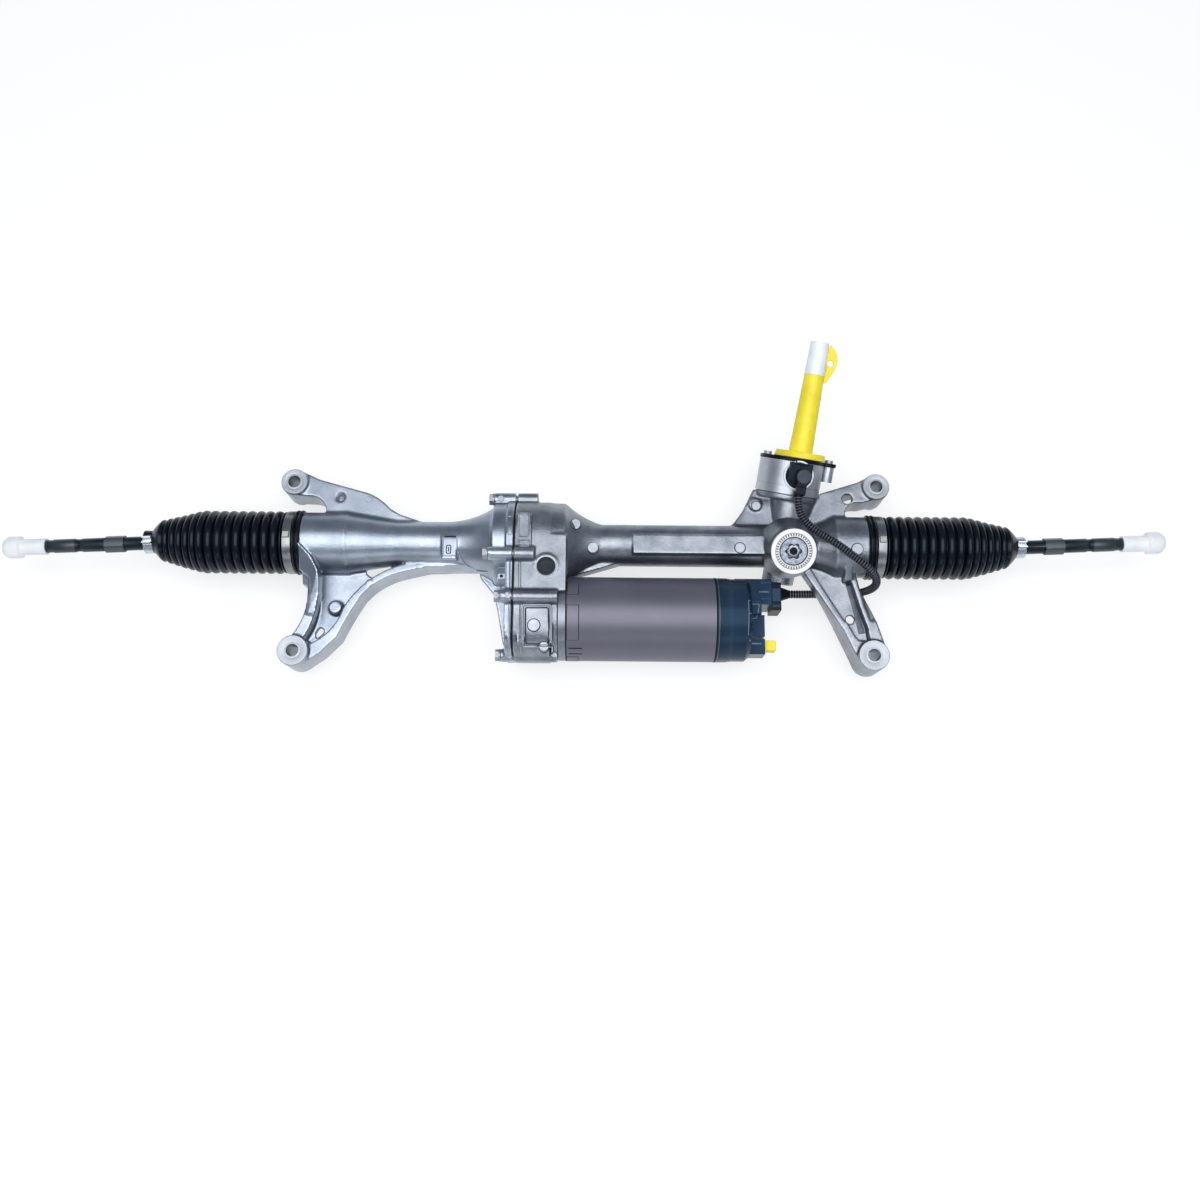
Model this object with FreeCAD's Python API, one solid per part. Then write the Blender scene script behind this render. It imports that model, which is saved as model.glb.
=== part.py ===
# Electric power steering rack with a belt-driven ball nut, in millimetres.
# X runs along the rack, Y points from the front mounting holes to the rear ones, Z is the bolt axis.
# The origin lies midway between the two front mounting holes, on their underside seat plane.
import FreeCAD, Part
import math
import os

os.makedirs("parts", exist_ok=True)
Vector = FreeCAD.Vector

# Clearances
running_gap = 0.3
fit_gap = 0.05
seal_gap = 0.1

# Mounting bosses and their bolt holes
mount_front_spacing = 592.0
mount_rear_spacing = 612.0
mount_rear_y = 180.5
mount_hole_radius = 6.25
sleeve_wall = 2.0
front_boss_radius = 16.0
front_boss_height = 44.0
rear_boss_radius = 14.2
rear_boss_height = 40.0

# Rack axis, rack bar and travel
rack_y = 117.0
rack_z = 28.0
rack_radius = 13.5
rack_travel = 75.0
rack_bore_radius = 15.5
bushing_length = 20.0
bushing_wall = 4.5
stop_thickness = 3.0
stop_gap = 0.5

# Tubes and boot seats of the castings
boot_shoulder = 293.0
boot_seat_length = 18.0
boot_seat_radius = 29.5
nose_length = 14.0
collar_radius = 32.0
left_collar_end = 246.0
left_tube_radius = 23.3
right_collar_end = 260.0
right_cone_start = 232.0
right_tube_radius = 21.8

# Belt case
parting_x = -72.2
cover_x = -79.5
case_wall_x = -31.0
case_lower_end_x = -26.0
case_upper_end_x = -18.0
case_flare_end_x = 17.0
case_half_width = 44.5
case_bottom_y = -6.0
case_corner_radius = 30.0
case_wall = 4.5
seal_thickness = 1.2
bolt_shank_radius = 4.0
bolt_head_radius = 6.4
bolt_head_height = 5.2
bolt_boss_radius = 6.9
plug_x = -38.2
plug_y = 83.1
plug_radius = 9.4

# Ball screw, ball nut and nut bearing
screw_lead = 10.0
screw_ball_radius = 2.8
screw_pitch_radius = 14.6
ball_groove_gap = 0.3
screw_start_x = -172.0
screw_end_x = 34.0
nut_start_x = -102.0
nut_end_x = -44.0
nut_radius = 22.0
nut_bore_radius = 15.2
nut_ball_turns = 3
nut_ball_spacing = 6.4
bearing_ball_radius = 2.9
bearing_race_radius = 28.3
bearing_start_x = -95.0
bearing_width = 14.0
bearing_outer_radius = 34.0
bearing_balls = 20
retainer_width = 4.0

# Belt drive
belt_pitch = 5.0
nut_pulley_teeth = 40
motor_pulley_teeth = 17
pulley_start_x = -70.0
pulley_width = 22.0
belt_width = 20.0
belt_thickness = 2.2
pulley_tooth_depth = 1.6
pulley_land = 0.57

# Motor
motor_y = 38.0
motor_z = 28.0
motor_radius = 43.5
motor_start_x = -17.5
motor_end_x = 141.0
motor_wall = 2.5
shaft_radius = 6.0
stator_inner_radius = 25.0
stator_start_x = 8.0
stator_end_x = 104.0
stator_teeth = 12
rotor_air_gap = 0.6
magnet_thickness = 3.0
magnet_count = 10
motor_bearing_radius = 15.0
motor_bearing_width = 9.0
bulkhead_x = 126.0

# Control unit
unit_radius = 42.8
unit_end_x = 170.0
unit_wall = 2.6
board_thickness = 1.6

# Pinion, its axis leans sideways and rises towards the viewer
pinion_x = 212.0
pinion_offset = 19.5
pinion_skew = 8.5
pinion_rise = 20.0
gear_module = 2.0
pinion_teeth = 8
pressure_angle = 25.0
profile_shift = 1.0
pinion_tip_radius = 10.3
tooth_backlash = 0.3
pinion_face = 36.0
rack_teeth_start = 112.0
rack_teeth_end = 312.0
tooth_root_gap = 0.5

# Pinion tower along the pinion axis
needle_start = -38.0
needle_end = -21.0
needle_outer_radius = 11.0
journal_radius = 7.0
ball_bearing_start = 24.0
ball_bearing_width = 13.0
ball_bearing_outer_radius = 20.0
pinion_shaft_radius = 9.0
neck_radius = 25.0
foot_radius = 17.0
tower_radius = 33.5
tower_offset = -7.0
tower_start = 55.0
tower_end = 89.0
tower_wall = 4.0
lid_thickness = 4.0
input_radius = 8.5
input_end = 206.0
torsion_bar_radius = 3.2
twist_stop = 5.5
tongue_half_width = 3.0
tongue_reach = 12.0
stop_bore_radius = 10.2
stop_cup_radius = 14.0
protector_disc_radius = 27.0
lid_screw_left = -34.0
lid_screw_right = 31.6
lid_screw_head_radius = 4.2
protector_disc_thickness = 6.5
protector_end = 181.0
protector_base_radius = 12.6
protector_tip_radius = 10.4
spline_cap_end = 215.0

# Yoke, pressed against the back of the rack bar opposite the pinion
yoke_radius = 15.4
yoke_start = 3.0
yoke_end = 31.0
yoke_boss_radius = 23.4
yoke_boss_top = 46.0
adjuster_radius = 18.6
adjuster_start = 38.0
adjuster_top = 47.0
ring_outer_radius = 23.0
ring_thickness = 2.6
spring_coil_radius = 8.0
spring_wire_radius = 1.3

# Ball joints and tie rods
ball_depth = 16.0
ball_radius = 12.0
seat_thickness = 1.6
seat_mouth_radius = 11.0
socket_mouth_radius = 14.4
socket_radius = 19.0
socket_length = 31.0
socket_stud_radius = 8.0
socket_stud_length = 20.0
tie_rod_rest_angle = 2.5
tie_rod_radius = 7.2
tie_rod_neck_radius = 6.0
tie_rod_tip = 189.5
tie_rod_groove = 110.5
tie_rod_thread = 137.5
hexagon_start = 62.5
hexagon_end = 82.5
hexagon_across = 16.0
thread_cap_inset = 7.0
thread_cap_radius = 8.4
cap_flange_radius = 11.5

# Boots and clamps
boot_radius = 33.0
boot_long_pitch = 9.6
boot_long_folds = 9
boot_long_depth = 5.0
boot_short_pitch = 7.6
boot_short_folds = 5
boot_short_depth = 3.6
boot_last_radius = 23.8
boot_last_land = 6.0
boot_wall = 1.2
boot_seat_gap = 1.5
boot_cuff_wall = 2.6
boot_bead_radius = 34.0
boot_bead_width = 3.4
boot_bead_gap = 1.0
boot_small_end = 41.5
boot_small_radius = 13.7
boot_cuff_length = 11.0
band_clamp_width = 8.6
band_clamp_thickness = 0.8
wire_clamp_width = 9.6
wire_clamp_edge = 0.4
wire_clamp_radius = 11.2

# Sensor harness
conduit_radius = 4.15

X = Vector(1, 0, 0)
Y = Vector(0, 1, 0)
Z = Vector(0, 0, 1)
rack_axis = Vector(0, rack_y, rack_z)
motor_axis = Vector(0, motor_y, motor_z)

skew = math.radians(pinion_skew)
rise = math.radians(pinion_rise)
yoke_dir = Vector(0, -math.sin(rise), math.cos(rise))
up_yoke = yoke_dir.cross(X)
pinion_dir = X * math.sin(skew) + up_yoke * math.cos(skew)
side_dir = pinion_dir.cross(yoke_dir)
yoke_foot = Vector(pinion_x, rack_y, rack_z)
pinion_foot = yoke_foot - yoke_dir * pinion_offset
tower_foot = pinion_foot + side_dir * tower_offset
plug_foot = Vector(plug_x, plug_y, 0)

boot_seat_end = boot_shoulder + boot_seat_length
housing_end = boot_seat_end + nose_length
nose_radius = boot_radius - boot_long_depth - boot_wall - boot_seat_gap
boot_start = boot_shoulder + running_gap
band_clamp_start = boot_start + 2 * boot_bead_width + boot_bead_gap + running_gap
band_clamp_end = band_clamp_start + band_clamp_width
socket_face = housing_end + stop_thickness + stop_gap + rack_travel
ball_centre = socket_face + ball_depth
nut_pulley_pitch = belt_pitch * nut_pulley_teeth / (2 * math.pi)
motor_pulley_pitch = belt_pitch * motor_pulley_teeth / (2 * math.pi)


def save(name, shape):
    """Write one node's shape to its file."""
    shape.exportStep("parts/" + name + ".step")


def fuse(shapes):
    """Join solids into one and drop the seams between them."""
    first = shapes[0]
    return first.fuse(shapes[1:]).removeSplitter()


def group(shapes):
    """Keep several separate solids together in one shape."""
    return Part.makeCompound(shapes)


def rod(origin, axis, radius, start, end):
    """Solid cylinder between two stations along an axis."""
    return Part.makeCylinder(radius, end - start, origin + axis * start, axis)


def ring(origin, axis, inner, outer, start, end):
    """Tube between two stations along an axis."""
    return rod(origin, axis, outer, start, end).cut(rod(origin, axis, inner, start - 1, end + 1))


def cone(origin, axis, start_radius, end_radius, start, end):
    """Solid cone frustum between two stations along an axis."""
    return Part.makeCone(start_radius, end_radius, end - start, origin + axis * start, axis)


def outline(place, start, steps):
    """Face inside a closed outline; a step is an end point, or a middle and an end point of an arc."""
    edges = []
    here = start
    for step in list(steps) + [start]:
        if isinstance(step[0], tuple):
            middle, there = step
            edges.append(Part.Arc(place(*here), place(*middle), place(*there)).toShape())
        else:
            there = step
            if (place(*here) - place(*there)).Length > 1e-6:
                edges.append(Part.LineSegment(place(*here), place(*there)).toShape())
        here = there
    return Part.Face(Part.Wire(edges))


def plate(z_low, z_high, start, steps):
    """Outline in plan, raised from one height to another."""
    face = outline(lambda x, y: Vector(x, y, z_low), start, steps)
    return face.extrude(Vector(0, 0, z_high - z_low))


def turned(origin, axis, radial, start, steps):
    """Solid of revolution; the outline is given as station along the axis and radius."""
    face = outline(lambda along, out: origin + axis * along + radial * out, start, steps)
    solid = face.revolve(origin, axis, 360)
    if solid.Volume < 0:
        solid = face.revolve(origin, axis * -1, 360)
    return solid


def block(origin, axes, low, high):
    """Box between two corners given along three square axes."""
    size = [high[i] - low[i] for i in range(3)]
    corner = origin + axes[0] * low[0] + axes[1] * low[1] + axes[2] * low[2]
    base = Part.makePolygon([corner,
                             corner + axes[0] * size[0],
                             corner + axes[0] * size[0] + axes[1] * size[1],
                             corner + axes[1] * size[1],
                             corner])
    return Part.Face(base).extrude(axes[2] * size[2])


def box(low, high):
    """Box between two corners in the part's own axes."""
    return block(Vector(0, 0, 0), (X, Y, Z), low, high)


def prism_ring(origin, axis, radial, across, start, end):
    """Hexagonal bar along an axis, by its size across flats."""
    corner = across / math.sqrt(3)
    third = axis.cross(radial)
    points = []
    for i in range(7):
        angle = math.radians(60 * i)
        points.append(origin + axis * start + (radial * math.cos(angle) + third * math.sin(angle)) * corner)
    return Part.Face(Part.makePolygon(points)).extrude(axis * (end - start))


def around(shape, origin, axis, count, first_angle=0.0):
    """Copies of a shape spaced evenly round an axis."""
    copies = []
    for i in range(count):
        copy = shape.copy()
        copy.rotate(origin, axis, first_angle + 360.0 * i / count)
        copies.append(copy)
    return copies


def tie_direction(side):
    """Rest direction of a tie rod, outwards on its side."""
    angle = math.radians(tie_rod_rest_angle)
    return Vector(side * math.cos(angle), side * math.sin(angle), 0)


def ball_point(side):
    """Centre of an inner ball joint at rest."""
    return rack_axis + X * (side * ball_centre)


# Belt case outline, shared by both castings, their seal and the cavity
def case_outline(x, inset):
    """Face of the belt case in a plane across the rack; the inset moves it inwards."""
    half = case_half_width - inset
    corner = case_corner_radius - inset
    bottom = case_bottom_y + inset
    diagonal = corner * math.sqrt(0.5)
    corner_y = bottom + corner
    corner_z = half - corner
    return outline(lambda y, z: Vector(x, y, rack_z + z), (rack_y, half), [
        ((rack_y + half, 0), (rack_y, -half)),
        (corner_y, -half),
        ((corner_y - diagonal, -corner_z - diagonal), (bottom, -corner_z)),
        (bottom, corner_z),
        ((corner_y - diagonal, corner_z + diagonal), (corner_y, half))])


def case_slab(x_low, x_high, inset):
    """Belt case outline extruded along the rack."""
    return case_outline(x_low, inset).extrude(X * (x_high - x_low))


# Case bolts: place across the rack, where the head sits and where the boss ends
case_bolt_reach = case_half_width + 1.5
case_bolts = [
    (rack_y + case_half_width + 3.0, rack_z + 6.0, -95.6, -49.0),
    (95.5, rack_z + case_bolt_reach, -97.0, -50.0),
    (51.3, rack_z + case_bolt_reach, -84.4, case_lower_end_x),
    (case_bottom_y + 3.0, rack_z + 13.0, -84.4, case_lower_end_x),
    (95.5, rack_z - case_bolt_reach, -97.0, -50.0),
    (51.3, rack_z - case_bolt_reach, -84.4, case_lower_end_x)]


def bolt_origin(y, z):
    """Foot of a case bolt's axis."""
    return Vector(0, y, z)


def mount_points():
    """The four mounting holes with boss radius and height."""
    front = mount_front_spacing / 2
    rear = mount_rear_spacing / 2
    return [(-front, 0, front_boss_radius, front_boss_height),
            (front, 0, front_boss_radius, front_boss_height),
            (-rear, mount_rear_y, rear_boss_radius, rear_boss_height),
            (rear, mount_rear_y, rear_boss_radius, rear_boss_height)]


def mount_boss(x, y, radius, height):
    """Solid boss, bored later."""
    return rod(Vector(x, y, 0), Z, radius, 0, height)


def mount_bore(x, y, height):
    """Hole in a boss that takes the steel sleeve."""
    return rod(Vector(x, y, 0), Z, mount_hole_radius + sleeve_wall, -1, height + 1)


def flare_arc(x_start, start_radius, x_end, end_radius):
    """Arc that leaves a tube tangentially and opens like a trumpet."""
    run = x_end - x_start
    rise_out = end_radius - start_radius
    radius = (run * run + rise_out * rise_out) / (2 * rise_out)
    half = run / 2
    middle = start_radius + math.copysign(radius - math.sqrt(radius * radius - half * half), rise_out)
    return ((x_start + half, middle), (x_end, end_radius))


# Left casting: boot seat, tube, two arms and the left half of the belt case
def drive_end_housing():
    flare_start = -146.0
    flare_end = -96.0
    flare_radius = 38.0
    drum_radius = 42.5
    body = turned(rack_axis, X, Y, (-housing_end, 0), [
        (-housing_end, nose_radius),
        (-boot_seat_end, nose_radius),
        (-boot_seat_end, boot_seat_radius),
        (-boot_shoulder, boot_seat_radius),
        (-boot_shoulder, collar_radius),
        (-left_collar_end, collar_radius),
        ((-left_collar_end + 2.0, collar_radius - 5.0), (-left_collar_end + 5.0, left_tube_radius)),
        (flare_start, left_tube_radius),
        flare_arc(flare_start, left_tube_radius, flare_end, flare_radius),
        (flare_end + 2.0, drum_radius),
        (cover_x, drum_radius),
        (cover_x, case_half_width),
        (parting_x, case_half_width),
        (parting_x, 0)])
    cover = case_slab(cover_x, parting_x, 0)
    bosses = []
    for y, z, head_x, boss_end in case_bolts:
        bosses.append(rod(bolt_origin(y, z), X, bolt_boss_radius, head_x, parting_x))
    # Lower arm: two deep ribs with a web between them
    left_rib = plate(1.0, 38.0, (-303.5, 12.0), [
        ((-290.5, 33.0), (-286.0, 60.0)),
        (-boot_shoulder + 6.5, 92.0),
        (-boot_shoulder + 14.5, 92.0),
        (-277.0, 58.0),
        ((-279.5, 31.0), (-289.0, 12.0))])
    rib_ramp = outline(lambda y, z: Vector(-boot_shoulder + 2.0, y, z), (70.0, 20.0), [
        (70.0, 38.0), (84.0, 45.5), (112.0, 59.6), (112.0, 28.0)]).extrude(X * 11.0)
    right_rib = plate(1.0, 37.0, (-285.5, -12.5), [
        (-269.0, -0.7),
        (-253.2, 15.7),
        ((-243.5, 36.0), (-230.0, 59.5)),
        ((-212.5, 74.5), (-190.0, 84.0)),
        (-165.0, 90.0),
        (-130.0, 91.5),
        (-100.0, 91.5),
        (-100.0, 102.0),
        (-165.0, 100.5),
        (-190.0, 92.5),
        ((-229.0, 71.0), (-248.0, 47.0)),
        ((-257.0, 28.0), (-284.0, 7.0))])
    web = plate(13.0, 20.0, (-290.0, 8.0), [
        (-283.0, 45.0), (-283.0, 98.0), (-190.0, 100.0), (-190.0, 88.0),
        ((-232.0, 64.0), (-250.0, 30.0)), (-275.0, 3.0)])
    post = rod(Vector(-258.1, 48.1, 0), Z, 7.0, 15.0, 31.0)
    skirt_gusset = plate(6.0, 12.0, (-113.0, 96.0), [
        (-110.0, 84.0), (-95.0, 66.0), (-90.5, 45.0), (-84.5, 12.0), (cover_x, 12.0), (cover_x, 96.0)])
    # Upper arm: a deep beam, hollow from behind
    upper_arm = plate(3.0, 37.0, (-299.0, 193.0), [
        (-280.0, 184.2),
        (-228.7, 170.0),
        ((-215.5, 163.0), (-204.4, 153.0)),
        (-193.8, 146.7),
        (-166.0, 137.5),
        (-166.0, 117.0),
        (-boot_shoulder + 21.0, 117.0),
        (-boot_shoulder + 21.5, 147.0),
        ((-boot_shoulder + 17.0, 160.0), (-290.0, 166.0)),
        (-303.0, 166.6)])
    upper_pocket = plate(-1.0, 29.0, (-289.0, 178.0), [
        (-231.0, 163.0), (-212.0, 149.0), (-218.0, 144.0), (-262.0, 150.5), (-268.0, 162.0), (-289.0, 171.0)])
    pad = block(rack_axis, (X, Y, Z), (-146.8, -22.0, 14.0), (-131.5, 2.0, 24.6))
    mounts = [m for m in mount_points() if m[0] < 0]
    bosses += [mount_boss(*m) for m in mounts]
    ribs = [left_rib, rib_ramp, right_rib, web, post, skirt_gusset, upper_arm, pad]
    solid = fuse([body, cover] + ribs + bosses)
    chamber_radius = bearing_outer_radius
    cuts = [
        upper_pocket,
        rod(rack_axis, X, rack_bore_radius, -housing_end - 1, parting_x),
        rod(rack_axis, X, rack_radius + bushing_wall, -housing_end - 1, -housing_end + bushing_length),
        rod(rack_axis, X, nut_radius + 2.0, nut_start_x - 2.0, parting_x),
        rod(rack_axis, X, chamber_radius, bearing_start_x, parting_x + 1),
        case_slab(parting_x - 3.0, parting_x + 1, case_wall),
        plate(8.0, 25.0, (-230.0, 89.0), [((-227.0, 94.0), (-222.0, 95.0)), (-209.0, 95.0),
                                          ((-203.0, 91.0), (-206.0, 87.0)), (-216.0, 83.5),
                                          ((-226.0, 84.0), (-230.0, 89.0))]),
        plate(8.0, 25.0, (-278.5, 16.0), [(-272.5, 21.0), ((-272.0, 27.0), (-276.0, 27.5)), (-279.0, 22.0)]),
        rod(Vector(-257.1, 164.6, 0), Z, 5.6, 35.5, 38.0),
        box((-259.7, 162.0, 28.0), (-254.5, 167.2, 36.0))]
    for y, z, head_x, boss_end in case_bolts:
        cuts.append(rod(bolt_origin(y, z), X, bolt_shank_radius + fit_gap, head_x - 1, parting_x + 1))
    for x, y, radius, height in mounts:
        cuts.append(mount_bore(x, y, height))
    return solid.cut(cuts)


# Right casting: right half of the belt case, rack tube, pinion tower foot, two arms, boot seat
def rack_housing():
    flare_base = -20.0
    mating_x = parting_x + seal_thickness
    tube = turned(rack_axis, X, Y, (mating_x, 0), [
        (mating_x, case_half_width),
        (flare_base, case_half_width - 1.0),
        ((-3.5, 31.0), (case_flare_end_x, right_tube_radius)),
        (right_cone_start, right_tube_radius),
        ((right_cone_start + 12.0, 24.5), (right_collar_end, collar_radius)),
        (boot_shoulder, collar_radius),
        (boot_shoulder, boot_seat_radius),
        (boot_seat_end, boot_seat_radius),
        (boot_seat_end, nose_radius),
        (housing_end, nose_radius),
        (housing_end, 0)])
    lower_case = case_slab(mating_x, case_lower_end_x - 8.0, 0)
    motor_flange = rod(motor_axis, X, motor_radius, case_lower_end_x - 9.0, case_lower_end_x)
    hood = box((mating_x, 58.0, rack_z - 12.0), (case_upper_end_x, rack_y, rack_z + case_half_width))
    hood = hood.cut(rod(motor_axis, X, motor_radius + 1.0, case_lower_end_x, 0))
    bosses = []
    for y, z, head_x, boss_end in case_bolts:
        bosses.append(rod(bolt_origin(y, z), X, bolt_boss_radius, mating_x, boss_end))
    wedge = plate(18.0, 36.0, (-22.0, 104.0), [(48.0, 100.0), (-12.0, 82.0), (-22.0, 82.0)])
    strip = block(rack_axis, (X, Y, Z), (50.0, -13.5, 12.0), (188.0, 6.5, 22.8))
    # Pinion tower foot and yoke boss
    neck = rod(pinion_foot, pinion_dir, neck_radius, -12.0, tower_start)
    foot = rod(pinion_foot, pinion_dir, foot_radius, needle_start - 3.0, 0)
    saddle = rod(tower_foot, pinion_dir, tower_radius - 1.5, tower_start - 6.0, tower_start)
    yoke_boss = rod(yoke_foot, yoke_dir, yoke_boss_radius, 0, yoke_boss_top)
    yoke_skirt = cone(yoke_foot, yoke_dir, yoke_boss_radius + 9.0, yoke_boss_radius, 8.0, 34.0)
    gusset = plate(24.0, 34.0, (140.0, 128.0), [
        (156.0, 141.0), (165.7, 154.7), (177.0, 178.3), (205.0, 180.0), (212.0, 128.0)])
    gusset_pad = rod(Vector(178.9, 161.0, 0), Z, 6.5, 30.0, 37.0)
    right_web = plate(10.0, 34.0, (205.0, 128.0), [
        (205.0, 178.0), (247.0, 173.3), (262.0, 160.0), (262.0, 128.0)])
    upper_arm = plate(3.0, 37.0, (299.5, 193.0), [
        (287.8, 186.4), (247.0, 173.3), (232.0, 166.0), (236.0, 120.0), (boot_shoulder - 18.0, 120.0),
        (boot_shoulder - 20.1, 150.0), ((boot_shoulder - 16.5, 160.0), (290.0, 163.5)), (303.8, 166.8)])
    upper_pocket = plate(-1.0, 28.0, (290.0, 178.0), [
        (252.0, 166.5), (250.0, 152.0), (262.0, 152.0), (267.0, 158.0), (290.0, 171.0)])
    # Lower arm: two ribs with a web, full depth only near the boss
    left_rib = plate(22.0, 40.0, (224.0, 92.0), [
        (241.0, 65.8), (268.6, 22.5), (280.5, -3.0), (290.0, 8.0),
        (275.5, 24.0), (247.0, 70.5), (231.0, 98.0)])
    right_rib = plate(22.0, 40.0, (boot_shoulder - 23.0, 106.0), [
        (boot_shoulder - 16.0, 101.0), (boot_shoulder - 10.4, 80.0), (288.4, 54.0), (297.5, 24.0),
        (309.5, 8.0), (298.0, 10.0), (291.5, 27.9), (284.5, 48.7), (boot_shoulder - 18.0, 82.0)])
    rib_ramp = outline(lambda y, z: Vector(boot_shoulder - 24.0, y, z), (78.0, 28.0), [
        (78.0, 40.0), (90.0, 47.0), (112.0, 59.6), (112.0, 28.0)]).extrude(X * 8.0)
    web = plate(24.0, 30.0, (231.0, 94.0), [
        (270.0, 20.0), (296.0, 8.0), (286.0, 60.0), (276.0, 100.0), (240.0, 110.0)])
    knee = plate(2.0, 40.0, (262.0, 36.0), [
        (282.0, -8.0), (310.5, 6.5), (301.0, 36.0), (290.0, 36.0),
        (293.0, 16.0), (281.0, 16.0), (270.0, 36.0)])
    mounts = [m for m in mount_points() if m[0] > 0]
    bosses += [mount_boss(*m) for m in mounts]
    plug_boss = rod(plug_foot, Z, plug_radius + 3.0, case_half_width, rack_z + case_half_width + 1.0)
    case = [tube, lower_case, motor_flange, hood, wedge, strip, plug_boss]
    tower = [neck, foot, saddle, yoke_boss, yoke_skirt]
    arms = [gusset, gusset_pad, right_web, upper_arm, left_rib, right_rib, rib_ramp, web, knee]
    solid = fuse(case + tower + arms + bosses)
    cuts = [
        upper_pocket,
        case_slab(parting_x - 1, case_wall_x, case_wall),
        rod(rack_axis, X, rack_bore_radius, parting_x, housing_end + 1),
        rod(motor_axis, X, motor_bearing_radius + 5.0, case_wall_x - 1, case_lower_end_x + 1),
        rod(motor_axis, X, motor_radius + 0.6, case_lower_end_x, unit_end_x),
        rod(tower_foot, pinion_dir, tower_radius + seal_gap, tower_start, tower_end),
        rod(pinion_foot, pinion_dir, pinion_tip_radius + 1.2, needle_end - 1, ball_bearing_start),
        rod(pinion_foot, pinion_dir, needle_outer_radius, needle_start, needle_end),
        rod(pinion_foot, pinion_dir, ball_bearing_outer_radius, ball_bearing_start, tower_start + 1),
        rod(yoke_foot, yoke_dir, yoke_radius + fit_gap, 0, yoke_boss_top + 1),
        rod(yoke_foot, yoke_dir, adjuster_radius, adjuster_start - 4.0, yoke_boss_top + 1),
        rod(plug_foot, Z, plug_radius, case_half_width, rack_z + case_half_width + 2.0),
        rod(Vector(275.7, 168.0, 0), Z, 5.4, 2.0, 38.0),
        rod(Vector(275.6, 39.7, 0), Z, 4.4, 20.0, 34.0)]
    for y, z, head_x, boss_end in case_bolts:
        cuts.append(rod(bolt_origin(y, z), X, bolt_shank_radius, parting_x - 1, parting_x + 18.0))
    for x, y, radius, height in mounts:
        cuts.append(mount_bore(x, y, height))
    return solid.cut(cuts)


# Seal that shows as the dark line between the castings
def housing_seal():
    lip = case_slab(parting_x, parting_x + seal_thickness, 0.8)
    holes = [case_slab(parting_x - 1, parting_x + seal_thickness + 1, case_wall)]
    for y, z, head_x, boss_end in case_bolts:
        holes.append(rod(bolt_origin(y, z), X, bolt_shank_radius + fit_gap, parting_x - 1, parting_x + 3.0))
    return lip.cut(holes)


# Flanged hexagon bolts with washer faces
def housing_bolts():
    bolts = []
    for y, z, head_x, boss_end in case_bolts:
        foot = bolt_origin(y, z)
        flange = rod(foot, X, bolt_head_radius, head_x - 1.4, head_x)
        head = prism_ring(foot, X, Y, 10.6, head_x - bolt_head_height, head_x - 1.4)
        shank = rod(foot, X, bolt_shank_radius, head_x, parting_x + 16.0)
        bolts.append(fuse([flange, head, shank]))
    return group(bolts)


def mount_sleeves():
    """Steel sleeves that line the four mounting holes."""
    sleeves = []
    for x, y, radius, height in mount_points():
        outer = mount_hole_radius + sleeve_wall
        sleeves.append(ring(Vector(x, y, 0), Z, mount_hole_radius, outer, 0, height))
    return group(sleeves)


# Rack bar with ball screw groove and teeth
def screw_groove(x_start, x_end):
    """Helical channel of round section about the rack axis."""
    radius = screw_ball_radius + ball_groove_gap
    cone_angle = 0
    spine = Part.makeLongHelix(screw_lead, x_end - x_start, screw_pitch_radius, cone_angle)
    section = Part.Wire(Part.makeCircle(radius, Vector(screw_pitch_radius, 0, 0), Y))
    channel = Part.Wire(spine).makePipeShell([section], True, True)
    channel.rotate(Vector(0, 0, 0), Y, 90)
    channel.translate(rack_axis + X * x_start)
    return channel


def tooth_pitch_along_rack():
    """Distance from tooth to tooth measured along the bar."""
    return math.pi * gear_module / side_dir.x


def tooth_spaces():
    """Trapezoid channels between the rack teeth, each parallel to the pinion axis."""
    slope = math.tan(math.radians(pressure_angle))
    reference = gear_module * pinion_teeth / 2 + profile_shift
    tip = reference - gear_module
    root = pinion_tip_radius + tooth_root_gap
    overrun = 6.0
    half_space = (math.pi * gear_module / 2 + tooth_backlash) / 2
    step = tooth_pitch_along_rack()
    first = math.ceil((rack_teeth_start - pinion_x) / step)
    last = math.floor((rack_teeth_end - pinion_x) / step)
    reach = 2.0 * rack_radius
    cutters = []
    for i in range(first, last + 1):
        origin = pinion_foot + X * (i * step) - pinion_dir * reach

        def place(side, height):
            return origin + side_dir * side + yoke_dir * height

        face = outline(place, (-half_space + (root - reference) * slope, root), [
            (half_space - (root - reference) * slope, root),
            (half_space + (reference - tip + overrun) * slope, tip - overrun),
            (-half_space - (reference - tip + overrun) * slope, tip - overrun)])
        cutters.append(face.extrude(pinion_dir * (2 * reach)))
    return cutters


def rack_bar():
    bar = rod(rack_axis, X, rack_radius, -socket_face, socket_face)
    tip = gear_module * pinion_teeth / 2 + profile_shift - gear_module
    flat = block(pinion_foot, (X, up_yoke, yoke_dir),
                 (rack_teeth_start - pinion_x, -rack_radius * 2, -20.0),
                 (rack_teeth_end - pinion_x, rack_radius * 2, tip))
    bar = bar.cut([flat] + tooth_spaces())
    bar = bar.cut(screw_groove(screw_start_x, screw_end_x))
    studs = []
    for side in (-1, 1):
        studs.append(rod(rack_axis, X * side, socket_stud_radius,
                         socket_face - socket_stud_length - 2.0, socket_face + 1))
    return bar.cut(studs)


# Ball nut train
def ball_nut():
    nut = ring(rack_axis, X, nut_bore_radius, nut_radius, nut_start_x, nut_end_x)
    middle = (nut_start_x + nut_end_x) / 2
    reach = screw_lead * (nut_ball_turns + 1) / 2
    # The groove starts on a whole number of turns from the screw's own start, so both helices agree
    turns = round((middle - reach - screw_start_x) / screw_lead)
    start = screw_start_x + turns * screw_lead
    channel = screw_groove(start, start + 2 * reach)
    return nut.cut(channel)


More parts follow.
